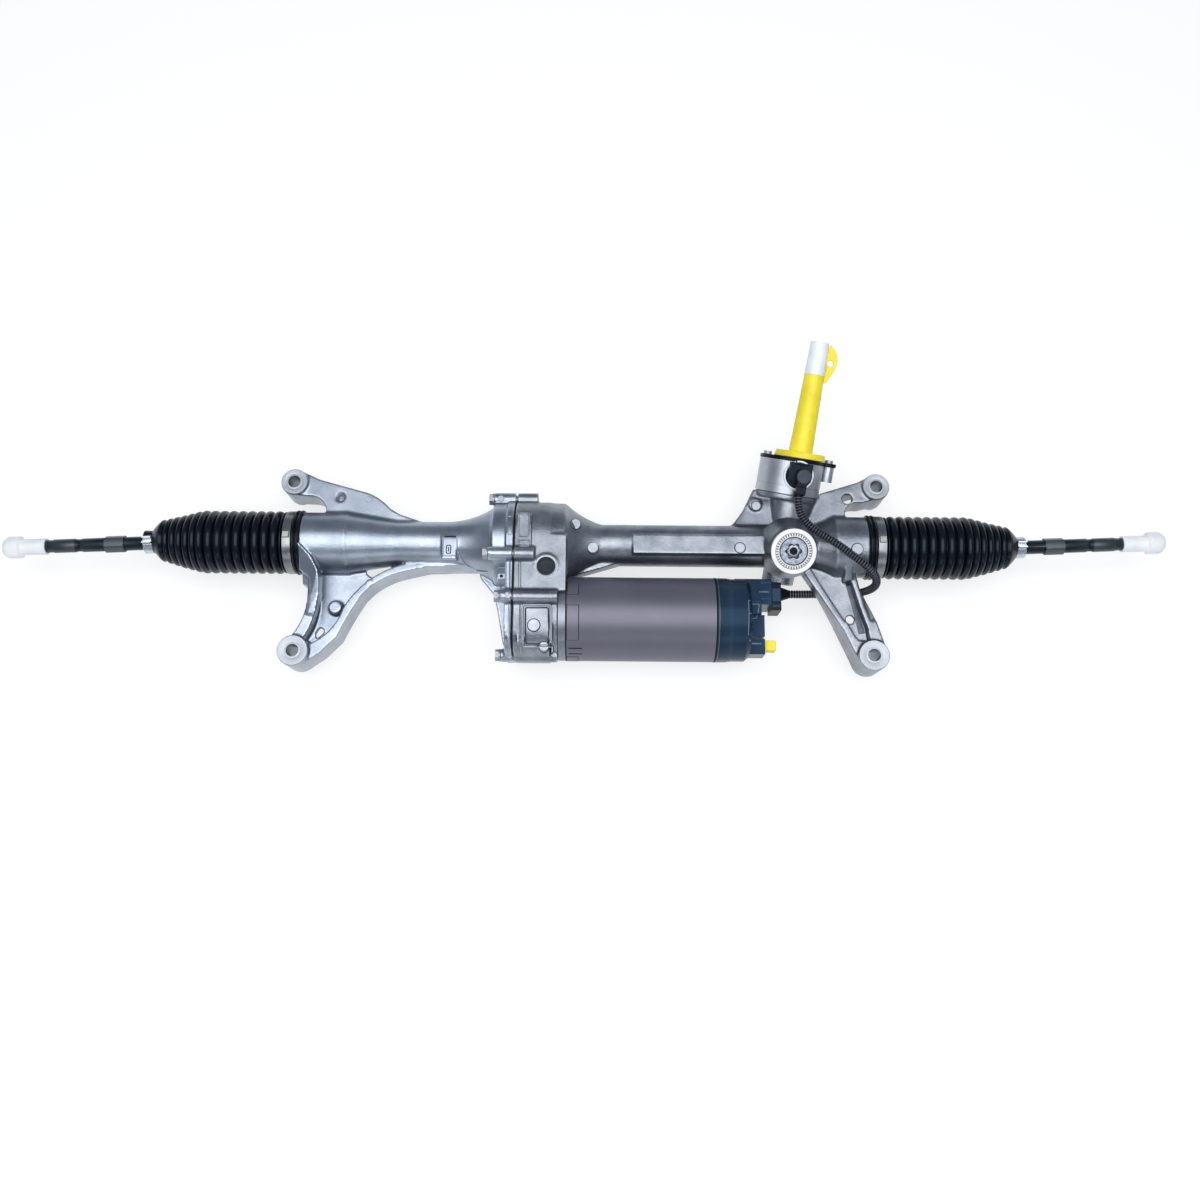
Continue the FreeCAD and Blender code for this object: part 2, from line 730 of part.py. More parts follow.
def screw_balls():
    """Recirculating balls, laid along the helix inside the nut."""
    middle = (nut_start_x + nut_end_x) / 2
    turns = round((middle - screw_lead * nut_ball_turns / 2 - screw_start_x) / screw_lead)
    start = screw_start_x + turns * screw_lead
    turn_length = math.hypot(2 * math.pi * screw_pitch_radius, screw_lead)
    count = int(nut_ball_turns * turn_length / nut_ball_spacing)
    balls = []
    for i in range(count):
        turn = 0.5 + nut_ball_turns * i / count
        angle = 2 * math.pi * turn
        # The screw groove starts below the axis and winds right-handed
        centre = rack_axis + X * (start + screw_lead * turn)
        centre = centre + (Y * math.sin(angle) - Z * math.cos(angle)) * screw_pitch_radius
        balls.append(Part.makeSphere(screw_ball_radius, centre))
    return group(balls)


def race_groove():
    """Torus cut out of both bearing rings."""
    middle = bearing_start_x + bearing_width / 2
    return Part.makeTorus(bearing_race_radius, bearing_ball_radius + seal_gap, rack_axis + X * middle, X)


def nut_bearing_inner():
    """Inner ring pressed on the nut, with the ball set."""
    inner = ring(rack_axis, X, nut_radius, bearing_race_radius - 2.0,
                 bearing_start_x, bearing_start_x + bearing_width).cut(race_groove())
    middle = rack_axis + X * (bearing_start_x + bearing_width / 2)
    ball = Part.makeSphere(bearing_ball_radius, middle + Y * bearing_race_radius)
    return group([inner] + around(ball, middle, X, bearing_balls))


def nut_bearing_outer():
    return ring(rack_axis, X, bearing_race_radius + 2.0, bearing_outer_radius,
                bearing_start_x, bearing_start_x + bearing_width).cut(race_groove())


def nut_bearing_retainer():
    start = bearing_start_x + bearing_width
    return ring(rack_axis, X, bearing_race_radius + 1.0, bearing_outer_radius, start, start + retainer_width)


def toothed_pulley(axis_point, pitch_radius, teeth, bore):
    """Pulley for a round-toothed belt."""
    outer = pitch_radius - pulley_land
    body = ring(axis_point, X, bore, outer, pulley_start_x, pulley_start_x + pulley_width)
    groove = rod(axis_point + Y * outer, X, pulley_tooth_depth, pulley_start_x - 1,
                 pulley_start_x + pulley_width + 1)
    return body.cut(around(groove, axis_point, X, teeth))


def drive_belt():
    """Belt as a closed band of two arcs and two tangent runs."""
    spacing = rack_y - motor_y
    start = pulley_start_x + (pulley_width - belt_width) / 2

    def loop(offset):
        big = nut_pulley_pitch - pulley_land + offset
        small = motor_pulley_pitch - pulley_land + offset
        lean = math.asin((big - small) / spacing)
        big_y = rack_y + big * math.sin(-lean)
        big_z = big * math.cos(lean)
        small_y = motor_y + small * math.sin(-lean)
        small_z = small * math.cos(lean)
        return outline(lambda y, z: Vector(start, y, rack_z + z), (big_y, big_z), [
            ((rack_y + big, 0), (big_y, -big_z)),
            (small_y, -small_z),
            ((motor_y - small, 0), (small_y, small_z))]).extrude(X * belt_width)

    return loop(seal_gap + belt_thickness).cut(loop(seal_gap))


# Motor
def motor_end_plate():
    """Aluminium flange between belt case and motor, with the front bearing seat."""
    start = case_lower_end_x
    plate_body = rod(motor_axis, X, motor_radius, start, motor_start_x)
    spigot = rod(motor_axis, X, motor_bearing_radius + 5.0 - fit_gap, case_wall_x, start + 1)
    hub = rod(motor_axis, X, motor_bearing_radius + 3.0, start, start + motor_bearing_width + 3.0)
    body = fuse([plate_body, spigot, hub])
    return body.cut([
        rod(motor_axis, X, shaft_radius + 1.0, case_wall_x - 1, 0),
        rod(motor_axis, X, motor_bearing_radius, start + 3.0, start + motor_bearing_width + 4.0)])


def motor_case():
    """Deep drawn can with a bulkhead that carries the rear bearing."""
    can = ring(motor_axis, X, motor_radius - motor_wall, motor_radius, motor_start_x, motor_end_x)
    inside = motor_radius - motor_wall
    bulkhead = ring(motor_axis, X, shaft_radius + 1.0, inside + 0.5, bulkhead_x, bulkhead_x + 3.0)
    seat = ring(motor_axis, X, motor_bearing_radius, motor_bearing_radius + 3.0,
                bulkhead_x - motor_bearing_width, bulkhead_x + 0.5)
    return fuse([can, bulkhead, seat])


def motor_bearings():
    """Deep groove ball bearings at both ends of the motor shaft, as ring, ball and ring."""
    pieces = []
    for start in (case_lower_end_x + 3.0, bulkhead_x - motor_bearing_width):
        middle = motor_axis + X * (start + motor_bearing_width / 2)
        groove = Part.makeTorus(10.5, 2.1, middle, X)
        end = start + motor_bearing_width
        for inner, outer in ((12.0, motor_bearing_radius), (shaft_radius + fit_gap, 9.0)):
            pieces.append(ring(motor_axis, X, inner, outer, start, end).cut(groove))
        pieces += around(Part.makeSphere(2.0, middle + Y * 10.5), middle, X, 9)
    return group(pieces)


def stator_tooth(extra, start, end):
    """One tooth with its pole shoe; extra thickens it to hold a coil."""
    neck = block(motor_axis, (Y, Z, X), (stator_inner_radius + 2.5, -3.5 - extra, start),
                 (motor_radius - motor_wall - 4.0, 3.5 + extra, end))
    return neck


def motor_stator():
    outer = motor_radius - motor_wall
    yoke_ring = ring(motor_axis, X, outer - 6.0, outer, stator_start_x, stator_end_x)
    shoe_radius = stator_inner_radius + 3.0
    shoe_ring = ring(motor_axis, X, stator_inner_radius, shoe_radius, stator_start_x, stator_end_x)
    slots = around(block(motor_axis, (Y, Z, X), (stator_inner_radius - 1, -1.2, stator_start_x - 1),
                         (stator_inner_radius + 4.0, 1.2, stator_end_x + 1)),
                   motor_axis, X, stator_teeth, 180.0 / stator_teeth)
    teeth = around(stator_tooth(0, stator_start_x, stator_end_x), motor_axis, X, stator_teeth)
    return fuse([yoke_ring, shoe_ring.cut(slots)] + teeth)


def motor_windings():
    """One coil round each stator tooth."""
    outer = motor_radius - motor_wall - 6.0
    overhang = 5.0
    coil = block(motor_axis, (Y, Z, X), (stator_inner_radius + 3.6, -6.3, stator_start_x - overhang),
                 (outer - 0.6, 6.3, stator_end_x + overhang))
    core = block(motor_axis, (Y, Z, X), (0, -3.6, stator_start_x - 0.1), (outer + 5, 3.6, stator_end_x + 0.1))
    return group(around(coil.cut(core), motor_axis, X, stator_teeth))


def motor_rotor():
    """Laminated core with the magnets bonded round it."""
    outer = stator_inner_radius - rotor_air_gap
    core = ring(motor_axis, X, shaft_radius, outer - magnet_thickness, stator_start_x, stator_end_x)
    shell = ring(motor_axis, X, outer - magnet_thickness, outer, stator_start_x, stator_end_x)
    gap = block(motor_axis, (Y, Z, X), (0, -0.8, stator_start_x - 1), (outer + 1, 0.8, stator_end_x + 1))
    gaps = around(gap, motor_axis, X, magnet_count)
    return group([core] + shell.cut(gaps).Solids)


def motor_shaft():
    return rod(motor_axis, X, shaft_radius, pulley_start_x, bulkhead_x + 12.0)


# Control unit at the far end of the motor
def control_unit_cover():
    main = rod(motor_axis, X, unit_radius, motor_end_x, unit_end_x)
    nose = cone(motor_axis, X, unit_radius, unit_radius - 4.0, unit_end_x - 5.0, unit_end_x)
    main = main.cut(rod(motor_axis, X, unit_radius + 1, unit_end_x - 5.0, unit_end_x + 1)).fuse(nose)
    harness_box = box((unit_end_x - 15.0, 52.0, 4.0), (193.0, 79.0, 42.0))
    vehicle_shroud = box((unit_end_x - 5.0, 18.5, 14.0), (185.0, 40.5, 44.0))
    step_block = box((unit_end_x - 5.0, 40.5, 20.0), (181.0, 54.0, 50.0))
    power_shroud = box((unit_end_x - 5.0, 0.5, 16.0), (185.5, 16.5, 40.0))
    shell = fuse([main, harness_box, vehicle_shroud, step_block, power_shroud])
    return shell.cut([
        rod(motor_axis, X, unit_radius - unit_wall, motor_end_x - 1, unit_end_x - unit_wall),
        box((171.0, 21.0, 16.5), (186.0, 38.0, 41.5)),
        box((173.0, 4.2, 22.0), (186.0, 13.0, 34.0))])


def control_board():
    """Round circuit board with its larger components, in the space behind the bulkhead."""
    start = motor_end_x + 3.0
    top = start + board_thickness
    board = rod(motor_axis, X, unit_radius - unit_wall - 1.0, start, top)
    pieces = [board]
    for y, z, radius, height in ((20.0, 10.0, 5.0, 14.0), (20.0, 24.0, 5.0, 14.0), (58.0, 44.0, 5.0, 14.0)):
        pieces.append(rod(Vector(0, y, z), X, radius, top, top + height))
    pieces.append(box((top, 34.0, 34.0), (top + 3.0, 50.0, 50.0)))
    return fuse(pieces)


def power_plug():
    """Yellow transport plug pushed into the power connector."""
    tongue = box((174.0, 4.5, 22.3), (185.5, 12.7, 33.7))
    grip = box((185.5, 5.5, 21.0), (197.5, 16.0, 35.0))
    return fuse([tongue, grip])


def motor_harness_connector():
    """Black plug on the control unit with the tapered grommet of the conduit."""
    shell = box((193.0, 47.0, 9.0), (203.5, 76.5, 38.0))
    end, leaving = harness_end(-1, -2)
    grommet = cone(end, leaving, 8.0, conduit_radius + 0.5, -10.5, 0)
    return fuse([shell, grommet])


# Sensor harness: conduit route from the torque sensor to the control unit, points chosen by hand
harness_route = [
    (218.6, 159.4, 69.7),
    (218.6, 150.0, 68.1),
    (221.2, 140.8, 67.2),
    (226.6, 132.4, 67.4),
    (234.6, 124.4, 69.0),
    (246.8, 115.8, 71.0),
    (260.0, 106.9, 71.3),
    (273.0, 97.6, 68.5),
    (284.8, 89.6, 66.0),
    (294.6, 82.6, 59.1),
    (300.6, 77.4, 48.8),
    (301.8, 74.0, 37.0),
    (298.1, 72.0, 25.8),
    (290.0, 71.0, 16.9),
    (279.0, 70.7, 12.1),
    (266.5, 70.4, 11.0),
    (253.5, 70.0, 13.0),
    (241.5, 69.2, 16.0),
    (231.0, 68.3, 19.0),
    (221.7, 67.6, 21.4),
    (212.8, 67.2, 23.3)]


def harness_end(first, second):
    """End point of the conduit and the direction in which it leaves the plug."""
    end = Vector(*harness_route[first])
    return end, (Vector(*harness_route[second]) - end).normalize()


def harness_tube():
    """Straight runs joined by tangent arcs as large as the runs allow."""
    points = [Vector(*p) for p in harness_route]
    edges = []
    here = points[0]
    tightest = 1e9
    for i in range(1, len(points) - 1):
        corner = points[i]
        before = corner - points[i - 1]
        after = points[i + 1] - corner
        turn = before.getAngle(after)
        radius = 0.45 * min(before.Length, after.Length) / math.tan(turn / 2)
        tightest = min(tightest, radius)
        print("harness turn", i, "degrees", round(math.degrees(turn), 1), "radius", round(radius, 1))
        before.normalize()
        after.normalize()
        reach = radius * math.tan(turn / 2)
        start = corner - before * reach
        end = corner + after * reach
        inward = (after - before).normalize()
        middle = corner + inward * (radius / math.cos(turn / 2) - radius)
        edges.append(Part.LineSegment(here, start).toShape())
        edges.append(Part.Arc(start, middle, end).toShape())
        here = end
    edges.append(Part.LineSegment(here, points[-1]).toShape())
    path = Part.Wire(edges)
    direction = points[1] - points[0]
    section = Part.Wire(Part.makeCircle(conduit_radius, points[0], direction))
    tube = path.makePipeShell([section], True, True)
    print("harness length", round(path.Length, 1), "tightest radius", round(tightest, 1),
          "volume ratio", round(tube.Volume / (math.pi * conduit_radius ** 2 * path.Length), 4))
    return tube


# Pinion and its bearings
def involute_flank(base_radius, start_radius, end_radius, points):
    """Points on an involute as radius and swept angle."""
    flank = []
    for i in range(points):
        radius = start_radius + (end_radius - start_radius) * i / (points - 1)
        angle = math.acos(min(1.0, base_radius / radius))
        flank.append((radius, math.tan(angle) - angle))
    return flank


def pinion_tooth():
    """One tooth, pointing at the rack, with its foot sunk in the root cylinder."""
    pitch_radius = gear_module * pinion_teeth / 2
    alpha = math.radians(pressure_angle)
    base_radius = pitch_radius * math.cos(alpha)
    thickness = gear_module * (math.pi / 2 + 2 * (profile_shift / gear_module) * math.tan(alpha))
    half_angle = thickness / (2 * pitch_radius) + math.tan(alpha) - alpha
    flank = involute_flank(base_radius, base_radius, pinion_tip_radius, 6)
    foot_radius = pinion_root_radius() - 1.0

    def point(radius, angle):
        return (pinion_foot - pinion_dir * (pinion_face / 2)
                + yoke_dir * (radius * math.cos(angle)) + side_dir * (radius * math.sin(angle)))

    right = [point(r, half_angle - a) for r, a in flank]
    left = [point(r, a - half_angle) for r, a in flank]
    right_curve = Part.BSplineCurve()
    right_curve.interpolate(right)
    left_curve = Part.BSplineCurve()
    left_curve.interpolate(left)
    tip = Part.Arc(right[-1], point(pinion_tip_radius, 0), left[-1]).toShape()
    foot_right = point(foot_radius, half_angle * 0.8)
    foot_left = point(foot_radius, -half_angle * 0.8)
    wire = Part.Wire([
        Part.LineSegment(foot_left, foot_right).toShape(),
        Part.LineSegment(foot_right, right[0]).toShape(),
        right_curve.toShape(),
        tip,
        left_curve.toShape(),
        Part.LineSegment(left[0], foot_left).toShape()])
    return Part.Face(wire).extrude(pinion_dir * pinion_face)


def pinion_root_radius():
    """Root circle that clears the rack tooth tips."""
    return gear_module * pinion_teeth / 2 + profile_shift - gear_module - tooth_root_gap


def pinion_shaft():
    start = -pinion_face / 2
    core = rod(pinion_foot, pinion_dir, pinion_root_radius(), start - 1, -start + 1)
    teeth = around(pinion_tooth(), pinion_foot, pinion_dir, pinion_teeth)
    journal = rod(pinion_foot, pinion_dir, journal_radius, needle_start + 1.0, start)
    shaft = rod(pinion_foot, pinion_dir, pinion_shaft_radius, -start, 46.0)
    cup = rod(pinion_foot, pinion_dir, stop_cup_radius, 42.0, 56.0)
    body = fuse([core, journal, shaft, cup] + teeth)
    angle = math.degrees(2 * math.asin(tongue_half_width / stop_bore_radius)) + 2 * twist_stop
    slots = []
    slot_foot = pinion_foot + pinion_dir * 46.0
    for first in (0, 180):
        sector = Part.makeCylinder(stop_cup_radius + 1.0, 12.0, slot_foot, pinion_dir, angle)
        sector.rotate(pinion_foot, pinion_dir, first - slot_zero(angle))
        slots.append(sector)
    return body.cut([
        rod(pinion_foot, pinion_dir, torsion_bar_radius + 1.0, -12.0, 60.0),
        rod(pinion_foot, pinion_dir, stop_bore_radius, 46.0, 60.0)] + slots)


def slot_zero(angle):
    """Turn that centres a sector cut on the side direction."""
    probe = Part.makeCylinder(15.0, 12.0, pinion_foot, pinion_dir, 1.0)
    middle = probe.CenterOfMass - pinion_foot
    flat = middle - pinion_dir * middle.dot(pinion_dir)
    start = math.degrees(math.atan2(flat.dot(pinion_dir.cross(side_dir)), flat.dot(side_dir)))
    return start + angle / 2 - 0.5


def torsion_bar():
    """Thin bar that lets the input shaft twist against the pinion."""
    bar = rod(pinion_foot, pinion_dir, torsion_bar_radius - 0.6, -12.0, 120.0)
    lower = rod(pinion_foot, pinion_dir, torsion_bar_radius + 1.0, -12.0, 2.0)
    upper = rod(pinion_foot, pinion_dir, torsion_bar_radius + 1.0, 108.0, 120.0)
    return fuse([bar, lower, upper])


def pinion_needle_bearing():
    """Needle cup at the foot of the pinion, cup and needles."""
    race = needle_outer_radius - 1.2
    cup = ring(pinion_foot, pinion_dir, race, needle_outer_radius, needle_start, needle_end)
    floor = rod(pinion_foot, pinion_dir, needle_outer_radius, needle_start, needle_start + 0.8)
    needle_radius = (needle_outer_radius - 1.2 - journal_radius) / 2 - fit_gap
    centre = (needle_outer_radius - 1.2 + journal_radius) / 2
    needle = rod(pinion_foot + yoke_dir * centre, pinion_dir, needle_radius,
                 needle_start + 3.0, needle_end - 1.0)
    return group([fuse([cup, floor])] + around(needle, pinion_foot, pinion_dir, 14, 7.0))


def pinion_ball_bearing():
    """Bearing that carries the pinion below the sensor, as ring, balls and ring."""
    start = ball_bearing_start
    end = start + ball_bearing_width
    middle = pinion_foot + pinion_dir * (start + ball_bearing_width / 2)
    groove = Part.makeTorus(14.5, 3.1, middle, pinion_dir)
    inner = ring(pinion_foot, pinion_dir, pinion_shaft_radius + fit_gap, 12.6, start, end).cut(groove)
    outer = ring(pinion_foot, pinion_dir, 16.4, ball_bearing_outer_radius, start, end).cut(groove)
    ball = Part.makeSphere(3.0, middle + yoke_dir * 14.5)
    return group([outer, inner] + around(ball, middle, pinion_dir, 11))


# Sensor tower
def sensor_housing():
    """Aluminium ring that holds the torque sensor."""
    outer = rod(tower_foot, pinion_dir, tower_radius, tower_start, tower_end)
    ear = rod(pinion_foot + side_dir * lid_screw_right, pinion_dir, 6.5, tower_end - 16.0, tower_end)
    body = fuse([outer, ear])
    groove = ring(tower_foot, pinion_dir, tower_radius - 0.6, tower_radius + 1, 63.4, 64.2)
    window = rod(tower_foot + pinion_dir * 76.0, yoke_dir, 8.0, 0, tower_radius + 2)
    screw_holes = []
    for b in (lid_screw_left, lid_screw_right):
        screw_holes.append(rod(pinion_foot + side_dir * b, pinion_dir, 2.5, tower_end - 9.0, tower_end + 1))
    return body.cut([rod(tower_foot, pinion_dir, tower_radius - tower_wall, tower_start + 3.0, tower_end + 1),
                     rod(pinion_foot, pinion_dir, ball_bearing_outer_radius, tower_start - 1, tower_end),
                     groove, window] + screw_holes)


def sensor_lid():
    """Black plastic lid with two screw ears."""
    start = tower_end
    end = tower_end + lid_thickness
    disc = rod(tower_foot, pinion_dir, tower_radius + 0.6, start, end)
    ear = rod(pinion_foot + side_dir * lid_screw_right, pinion_dir, 8.0, start, end)
    bridge = block(pinion_foot, (side_dir, yoke_dir, pinion_dir),
                   (0, -8.0, start), (lid_screw_right, 8.0, end))
    left_ear = rod(pinion_foot + side_dir * lid_screw_left, pinion_dir, 6.6, start, end)
    neck = ring(pinion_foot, pinion_dir, input_radius + 5.5, input_radius + 8.0, start - 5.0, start + 0.5)
    body = fuse([disc, ear, bridge, left_ear, neck])
    holes = []
    for b in (lid_screw_left, lid_screw_right):
        holes.append(rod(pinion_foot + side_dir * b, pinion_dir, 2.6, start - 1, end + 1))
    return body.cut([rod(pinion_foot, pinion_dir, input_radius + 5.5, start - 6.0, end + 1)] + holes)


def small_screws():
    """Two socket-headed screws in the sensor lid."""
    screws = []
    for b in (lid_screw_left, lid_screw_right):
        foot = pinion_foot + side_dir * b
        top = tower_end + lid_thickness
        head = rod(foot, pinion_dir, lid_screw_head_radius, top, top + 3.2)
        shank = rod(foot, pinion_dir, 2.5, top - 11.0, top)
        recess = prism_ring(foot, pinion_dir, side_dir, 3.0, top + 1.4, top + 4.0)
        screws.append(fuse([head, shank]).cut(recess))
    return group(screws)


def pinion_seal():
    """Lip seal round the input shaft, in the lid's neck."""
    start = tower_end - 5.0
    return ring(pinion_foot, pinion_dir, input_radius + seal_gap, input_radius + 5.5, start, start + 6.0)


def torque_sensor():
    """Ring-shaped sensor board round the magnet ring."""
    board = ring(pinion_foot, pinion_dir, 15.5, 19.5, 62.0, 82.0)
    tray = ring(tower_foot, pinion_dir, 24.0, tower_radius - tower_wall, 58.0, 61.0)
    arms = block(pinion_foot, (side_dir, yoke_dir, pinion_dir), (-3.0, 18.5, 70.0), (3.0, 26.0, 78.0))
    return fuse([board, arms]), tray


def sensor_connector():
    """Plug of the sensor harness: base block, round cap and the tail that takes the conduit."""
    axes = (side_dir, yoke_dir, pinion_dir)
    base = block(pinion_foot, axes, (-14.5, 33.8, 70.0), (9.0, 41.0, 88.5))
    stem = rod(tower_foot + pinion_dir * 76.0, yoke_dir, 7.6, 28.0, 36.0)
    cap = rod(pinion_foot + pinion_dir * 75.5, yoke_dir, 8.0, 38.0, 50.0)
    tail = block(pinion_foot, axes, (-5.6, 39.0, 56.5), (4.4, 49.0, 70.5))
    end, leaving = harness_end(0, 1)
    collar = rod(end, leaving, conduit_radius + 0.7, -5.0, 0)
    return fuse([base, stem, cap, tail, collar])


def input_shaft():
    """Splined steering input with two tongues between the pinion's stops."""
    body = rod(pinion_foot, pinion_dir, input_radius, 56.6, input_end)
    spigot = rod(pinion_foot, pinion_dir, input_radius - 1.0, 47.0, 57.0)
    tongue = block(pinion_foot, (side_dir, pinion_dir.cross(side_dir), pinion_dir),
                   (-tongue_reach, -tongue_half_width, 47.0), (tongue_reach, tongue_half_width, 56.0))
    body = fuse([body, spigot, tongue])
    groove = ring(pinion_foot, pinion_dir, input_radius - 1.5, input_radius + 1, 188.0, 194.0)
    spline = rod(pinion_foot + side_dir * input_radius, pinion_dir, 0.45, 166.0, input_end + 1)
    cuts = around(spline, pinion_foot, pinion_dir, 36)
    bore = rod(pinion_foot, pinion_dir, torsion_bar_radius + 1.0 + fit_gap, 40.0, 122.0)
    return body.cut([bore, groove] + cuts)


def sensor_magnet_ring():
    return ring(pinion_foot, pinion_dir, input_radius, 14.0, 64.0, 80.0)


def shaft_protector():
    """Yellow transport guard: disc, tapered tube and a lug with a hole."""
    start = tower_end + lid_thickness + 0.4
    disc = cone(pinion_foot, pinion_dir, protector_disc_radius, protector_disc_radius - 1.5,
                start, start + protector_disc_thickness)
    tube = cone(pinion_foot, pinion_dir, protector_base_radius, protector_tip_radius,
                start + 2.0, protector_end)

    def on_lug(along, out):
        return pinion_foot + pinion_dir * along + side_dir * out - yoke_dir * 1.5

    lug = outline(on_lug, (172.0, 8.0), [
        (176.0, 14.0), (188.0, 19.5), ((206.0, 19.0), (214.0, 11.5)), (211.0, 9.5), (181.0, 9.0)])
    lug = lug.extrude(yoke_dir * 3.0)
    body = fuse([disc, tube, lug])
    hole = rod(pinion_foot + pinion_dir * 195.0 + side_dir * 14.5, yoke_dir, 3.2, -3.0, 3.0)
    return body.cut([rod(pinion_foot, pinion_dir, input_radius, start - 1, protector_end + 40.0), hole])


def spline_cap():
    """White cap pushed over the spline above the guard."""
    outer = cone(pinion_foot, pinion_dir, 10.6, 9.6, protector_end, spline_cap_end)
    return outer.cut([rod(pinion_foot, pinion_dir, input_radius, protector_end - 1, input_end),
                      block(pinion_foot, (side_dir, yoke_dir, pinion_dir), (8.9, -1.7, protector_end - 1),
                            (12.0, 1.7, spline_cap_end + 1))])


# Yoke group
def yoke():
    body = rod(yoke_foot, yoke_dir, yoke_radius, yoke_start, yoke_end)
    seat = rod(rack_axis, X, rack_radius + seal_gap, pinion_x - 30.0, pinion_x + 30.0)
    well_radius = spring_coil_radius + spring_wire_radius + 0.6
    well = rod(yoke_foot, yoke_dir, well_radius, yoke_end - 8.0, yoke_end + 1)
    return body.cut([seat, well])


def yoke_spring():
    """Closed-end compression spring between yoke and adjuster."""
    low = yoke_end - 8.0 + spring_wire_radius + 0.02
    high = adjuster_start - spring_wire_radius - 0.02
    turns = 3.5
    spine = Part.makeHelix((high - low) / turns, high - low, spring_coil_radius)
    section = Part.Wire(Part.makeCircle(spring_wire_radius, Vector(spring_coil_radius, 0, 0), Y))
    coil = Part.Wire(spine).makePipeShell([section], True, True)
    coil.rotate(Vector(0, 0, 0), X, pinion_rise)
    coil.translate(yoke_foot + yoke_dir * low)
    return coil


def yoke_adjuster():
    """Threaded plug with a star recess for the setting tool."""
    plug = rod(yoke_foot, yoke_dir, adjuster_radius, adjuster_start, adjuster_top)
    recess = rod(yoke_foot, yoke_dir, 6.0, adjuster_top - 6.5, adjuster_top + 1)
    lobe = rod(yoke_foot + X * 6.0, yoke_dir, 1.9, adjuster_top - 6.5, adjuster_top + 1)
    rim = ring(yoke_foot, yoke_dir, 14.0, adjuster_radius - 1.2, adjuster_top - 1.2, adjuster_top + 1)
    return plug.cut([fuse([recess] + around(lobe, yoke_foot, yoke_dir, 6)), rim])


def yoke_lock_ring():
    """White ring that marks and locks the adjuster."""
    start = yoke_boss_top
    return ring(yoke_foot, yoke_dir, adjuster_radius, ring_outer_radius, start, start + ring_thickness)


def inspection_plug():
    """Round rubber-sealed plug in the belt case."""
    top = rack_z + case_half_width
    body = rod(plug_foot, Z, plug_radius, top - case_wall, top + 0.2)
    recess = ring(plug_foot, Z, plug_radius - 2.8, plug_radius - 1.0, top - 0.8, top + 1)
    return body.cut([recess, rod(plug_foot, Z, plug_radius - 4.9, top - case_wall - 1, top - 2.0)])


def rack_bushing():
    outer = rack_radius + bushing_wall
    return ring(rack_axis, X, rack_radius + fit_gap, outer, -housing_end, -housing_end + bushing_length)


def rack_end_stops():
    """Rubber stop rings on both ends of the housing."""
    stops = []
    for side in (-1, 1):
        stops.append(ring(rack_axis, X * side, rack_bore_radius + 0.5, socket_radius + 3.0,
                          housing_end, housing_end + stop_thickness))
    return group(stops)


# Ball joints
def sphere_station(radius, out):
    """Station ahead of the ball centre where a sphere has a given distance from the axis."""
    return math.sqrt(radius * radius - out * out)


def socket(side):
    """Steel socket screwed into the rack end, open towards the tie rod."""
    outward = X * side
    centre = ball_point(side)
    end = socket_length - ball_depth
    cavity = ball_radius + seat_thickness + fit_gap
    mouth = sphere_station(cavity, seat_mouth_radius)
    stud = -ball_depth - socket_stud_length
    body = turned(centre, outward, Y, (stud, 0), [
        (stud, socket_stud_radius),
        (-ball_depth, socket_stud_radius),
        (-ball_depth, socket_radius),
        (end - 2.0, socket_radius),
        (end, socket_radius - 2.0),
        (end, socket_mouth_radius),
        (mouth, seat_mouth_radius),
        ((0, cavity), (-cavity, 0))])
    flats = prism_ring(centre, outward, Y, 2 * socket_radius - 3.0, -ball_depth, -ball_depth + 8.0)
    waste = ring(centre, outward, socket_stud_radius, socket_radius + 5.0, -ball_depth, -ball_depth + 8.0)
    return body.cut(waste.cut(flats))


def ball_seat(side):
    """Plastic liner between ball and socket, open at the mouth and at the grease space behind."""
    outer = ball_radius + seat_thickness
    inner = ball_radius + fit_gap
    back = 4.0
    mouth = seat_mouth_radius
    return turned(ball_point(side), X * side, Y, (sphere_station(outer, mouth), mouth), [
        ((0, outer), (-sphere_station(outer, back), back)),
        (-sphere_station(inner, back), back),
        ((0, inner), (sphere_station(inner, mouth), mouth))])


def tie_rod(side):
    """Ball, neck, hexagon, grooved shaft and threaded end, in one forging."""
    direction = tie_direction(side)
    centre = ball_point(side)
    radial = Vector(-direction.y, direction.x, 0)
    tip = tie_rod_tip - 7.0
    boot_inside = boot_small_end - boot_cuff_length - 5.0
    groove_depth = 0.7
    thread_depth = 0.6
    shaft = turned(centre, direction, radial, (-ball_radius, 0), [
        ((0, ball_radius), (sphere_station(ball_radius, tie_rod_neck_radius), tie_rod_neck_radius)),
        (ball_radius + 7.0, tie_rod_neck_radius),
        (ball_radius + 12.0, tie_rod_radius + 0.6),
        (boot_inside - 1.0, tie_rod_radius + 0.6),
        (boot_inside, tie_rod_radius),
        (tie_rod_groove - 4.0, tie_rod_radius),
        (tie_rod_groove - 2.0, tie_rod_radius - groove_depth),
        (tie_rod_groove + 2.0, tie_rod_radius - groove_depth),
        (tie_rod_groove + 4.0, tie_rod_radius),
        (tie_rod_thread - 1.0, tie_rod_radius),
        (tie_rod_thread, tie_rod_radius - thread_depth),
        (tip - 1.5, tie_rod_radius - thread_depth),
        (tip, tie_rod_radius - 3 * thread_depth),
        (tip, 0)])
    hexagon = prism_ring(centre, direction, radial, hexagon_across, hexagon_start, hexagon_end)
    flat = rod(centre, direction, hexagon_across / math.sqrt(3) - 0.4, hexagon_start, hexagon_end)
    return fuse([shaft, hexagon.common(flat)])


